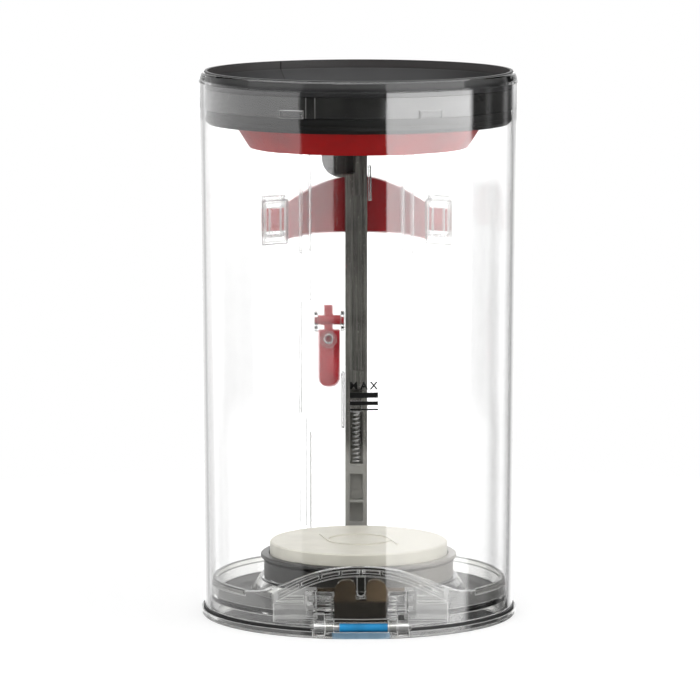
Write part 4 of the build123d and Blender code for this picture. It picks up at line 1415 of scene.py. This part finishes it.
@dataclass(frozen=True)
class Lamp:
    """Soft square lamp aimed at the middle of the bin."""

    name: str
    place: Point
    power: float
    size: float = 0.8
    aim: Point = (0.0, 0.0, 0.1)

    def build(self) -> None:
        """Set up the lamp, which mirrored and refracted rays don't see."""
        data = bpy.data.lights.new(self.name, "AREA")
        data.size = self.size
        data.energy = self.power
        lamp = bpy.data.objects.new(self.name, data)
        bpy.context.scene.collection.objects.link(lamp)
        lamp.location = self.place
        aim = Vector(self.aim) - Vector(self.place)
        lamp.rotation_euler = aim.to_track_quat("-Z", "Y").to_euler()
        lamp.visible_glossy = False
        lamp.visible_transmission = False
        lamp.visible_camera = False


@dataclass(frozen=True)
class Studio:
    """White studio: world, floor, lamps and the cards that the clear wall mirrors."""

    ambient: float = 0.6
    through_glass: float = 1.25
    floor_look: Finish = StudioFloor("studio_floor")
    floor_radius: float = 0.35
    room_look: Finish = RoomWall("studio_room")
    room_radius: float = 1.2
    room_foot: float = -0.40
    room_top: float = 1.4
    room_sides: int = 180
    table_look: Finish = GlowCard("studio_table", strength=0.04)
    # Painted shade: a dark glowing pad under the bin stands for the shaded floor that the clear
    # door shows.
    shade_pad_look: Finish = GlowCard("studio_pad", strength=0.07)
    shade_pad_radius: float = 58.0 * MM
    shade_pad_depth: float = 0.2 * MM
    softbox_look: Finish = GlowCard("studio_softbox", strength=3.2)
    softbox_drop: float = 10 * MM
    card_sides: int = 96
    bounces: int = 32
    glossy_bounces: int = 8
    camera: Camera = Camera()
    lamps: tuple[Lamp, ...] = (
        Lamp("lamp_left", (-0.9, -0.9, 1.1), 4.2),
        Lamp("lamp_right", (1.0, -0.6, 0.9), 4.2),
    )

    def world(self) -> None:
        """White for what the camera, gloss and clear parts see, plain level for light."""
        world = bpy.data.worlds.new("studio")
        bpy.context.scene.world = world
        graph = Graph(world)
        through = graph.ray("Is Transmission Ray")
        seen = through.largest(graph.ray("Is Camera Ray")).largest(graph.ray("Is Glossy Ray"))
        strength = self.ambient + (1 - self.ambient) * seen + (self.through_glass - 1) * through
        inputs = {"Strength": strength, "Color": grey(1.0)}
        graph.finish(graph.node("ShaderNodeBackground", inputs=inputs), "ShaderNodeOutputWorld")

    def _disc(self, finish: Finish, radius: float, height: float) -> Piece:
        """Flat round piece of the stage.

        Args:
            finish: Its finish, which names it too.
            radius: Its radius.
            height: Height that it lies at.

        Returns:
            The piece.
        """
        deselect()
        bpy.ops.mesh.primitive_circle_add(
            vertices=self.card_sides,
            radius=radius,
            fill_type="NGON",
            location=(0, 0, height),
        )
        disc = settle(finish.name)
        finish.dress(disc)
        return disc

    def floor(self) -> None:
        """Round pale floor, which mirrored and refracted rays don't see."""
        floor = self._disc(self.floor_look, self.floor_radius, 0.0)
        floor.visible_glossy = False
        floor.visible_transmission = False

    def room(self) -> None:
        """Wall, table, a dark pad under the bin that is painted shade, and softbox, for mirrored
        and refracted rays only.
        """
        deselect()
        bpy.ops.mesh.primitive_cylinder_add(
            vertices=self.room_sides,
            radius=self.room_radius,
            depth=self.room_top - self.room_foot,
            end_fill_type="NOTHING",
            location=(0, 0, (self.room_top + self.room_foot) / 2),
        )
        wall = settle(self.room_look.name)
        self.room_look.dress(wall)
        for piece in (
            wall,
            self._disc(self.table_look, self.room_radius, self.room_foot),
            # The pad is painted shade under the bin.
            self._disc(self.shade_pad_look, self.shade_pad_radius, -self.shade_pad_depth),
            self._disc(self.softbox_look, self.room_radius, self.room_top - self.softbox_drop),
        ):
            piece.visible_camera = False
            piece.visible_diffuse = False
            piece.visible_shadow = False

    def build(self) -> None:
        """Set up the whole studio."""
        scene = bpy.context.scene
        scene.view_settings.view_transform = "Standard"
        scene.cycles.max_bounces = self.bounces
        scene.cycles.transmission_bounces = self.bounces
        scene.cycles.transparent_max_bounces = self.bounces
        scene.cycles.glossy_bounces = self.glossy_bounces
        self.world()
        self.floor()
        self.room()
        for lamp in self.lamps:
            lamp.build()
        self.camera.build()
        LOG.info("studio ready")


def main() -> None:
    """Build every sub-assembly in order."""
    logging.basicConfig(level=logging.INFO, format="%(message)s")
    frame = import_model()
    for part in (
        ClearTube(),
        Collar(),
        ReleaseTrain(),
        RunnerLatch(),
        BaseDoor(),
        Pedestal(),
        Hinge(),
    ):
        LOG.info("building %s", type(part).__name__)
        part.build(frame)
    Studio().build()


if __name__ == "__main__":
    main()
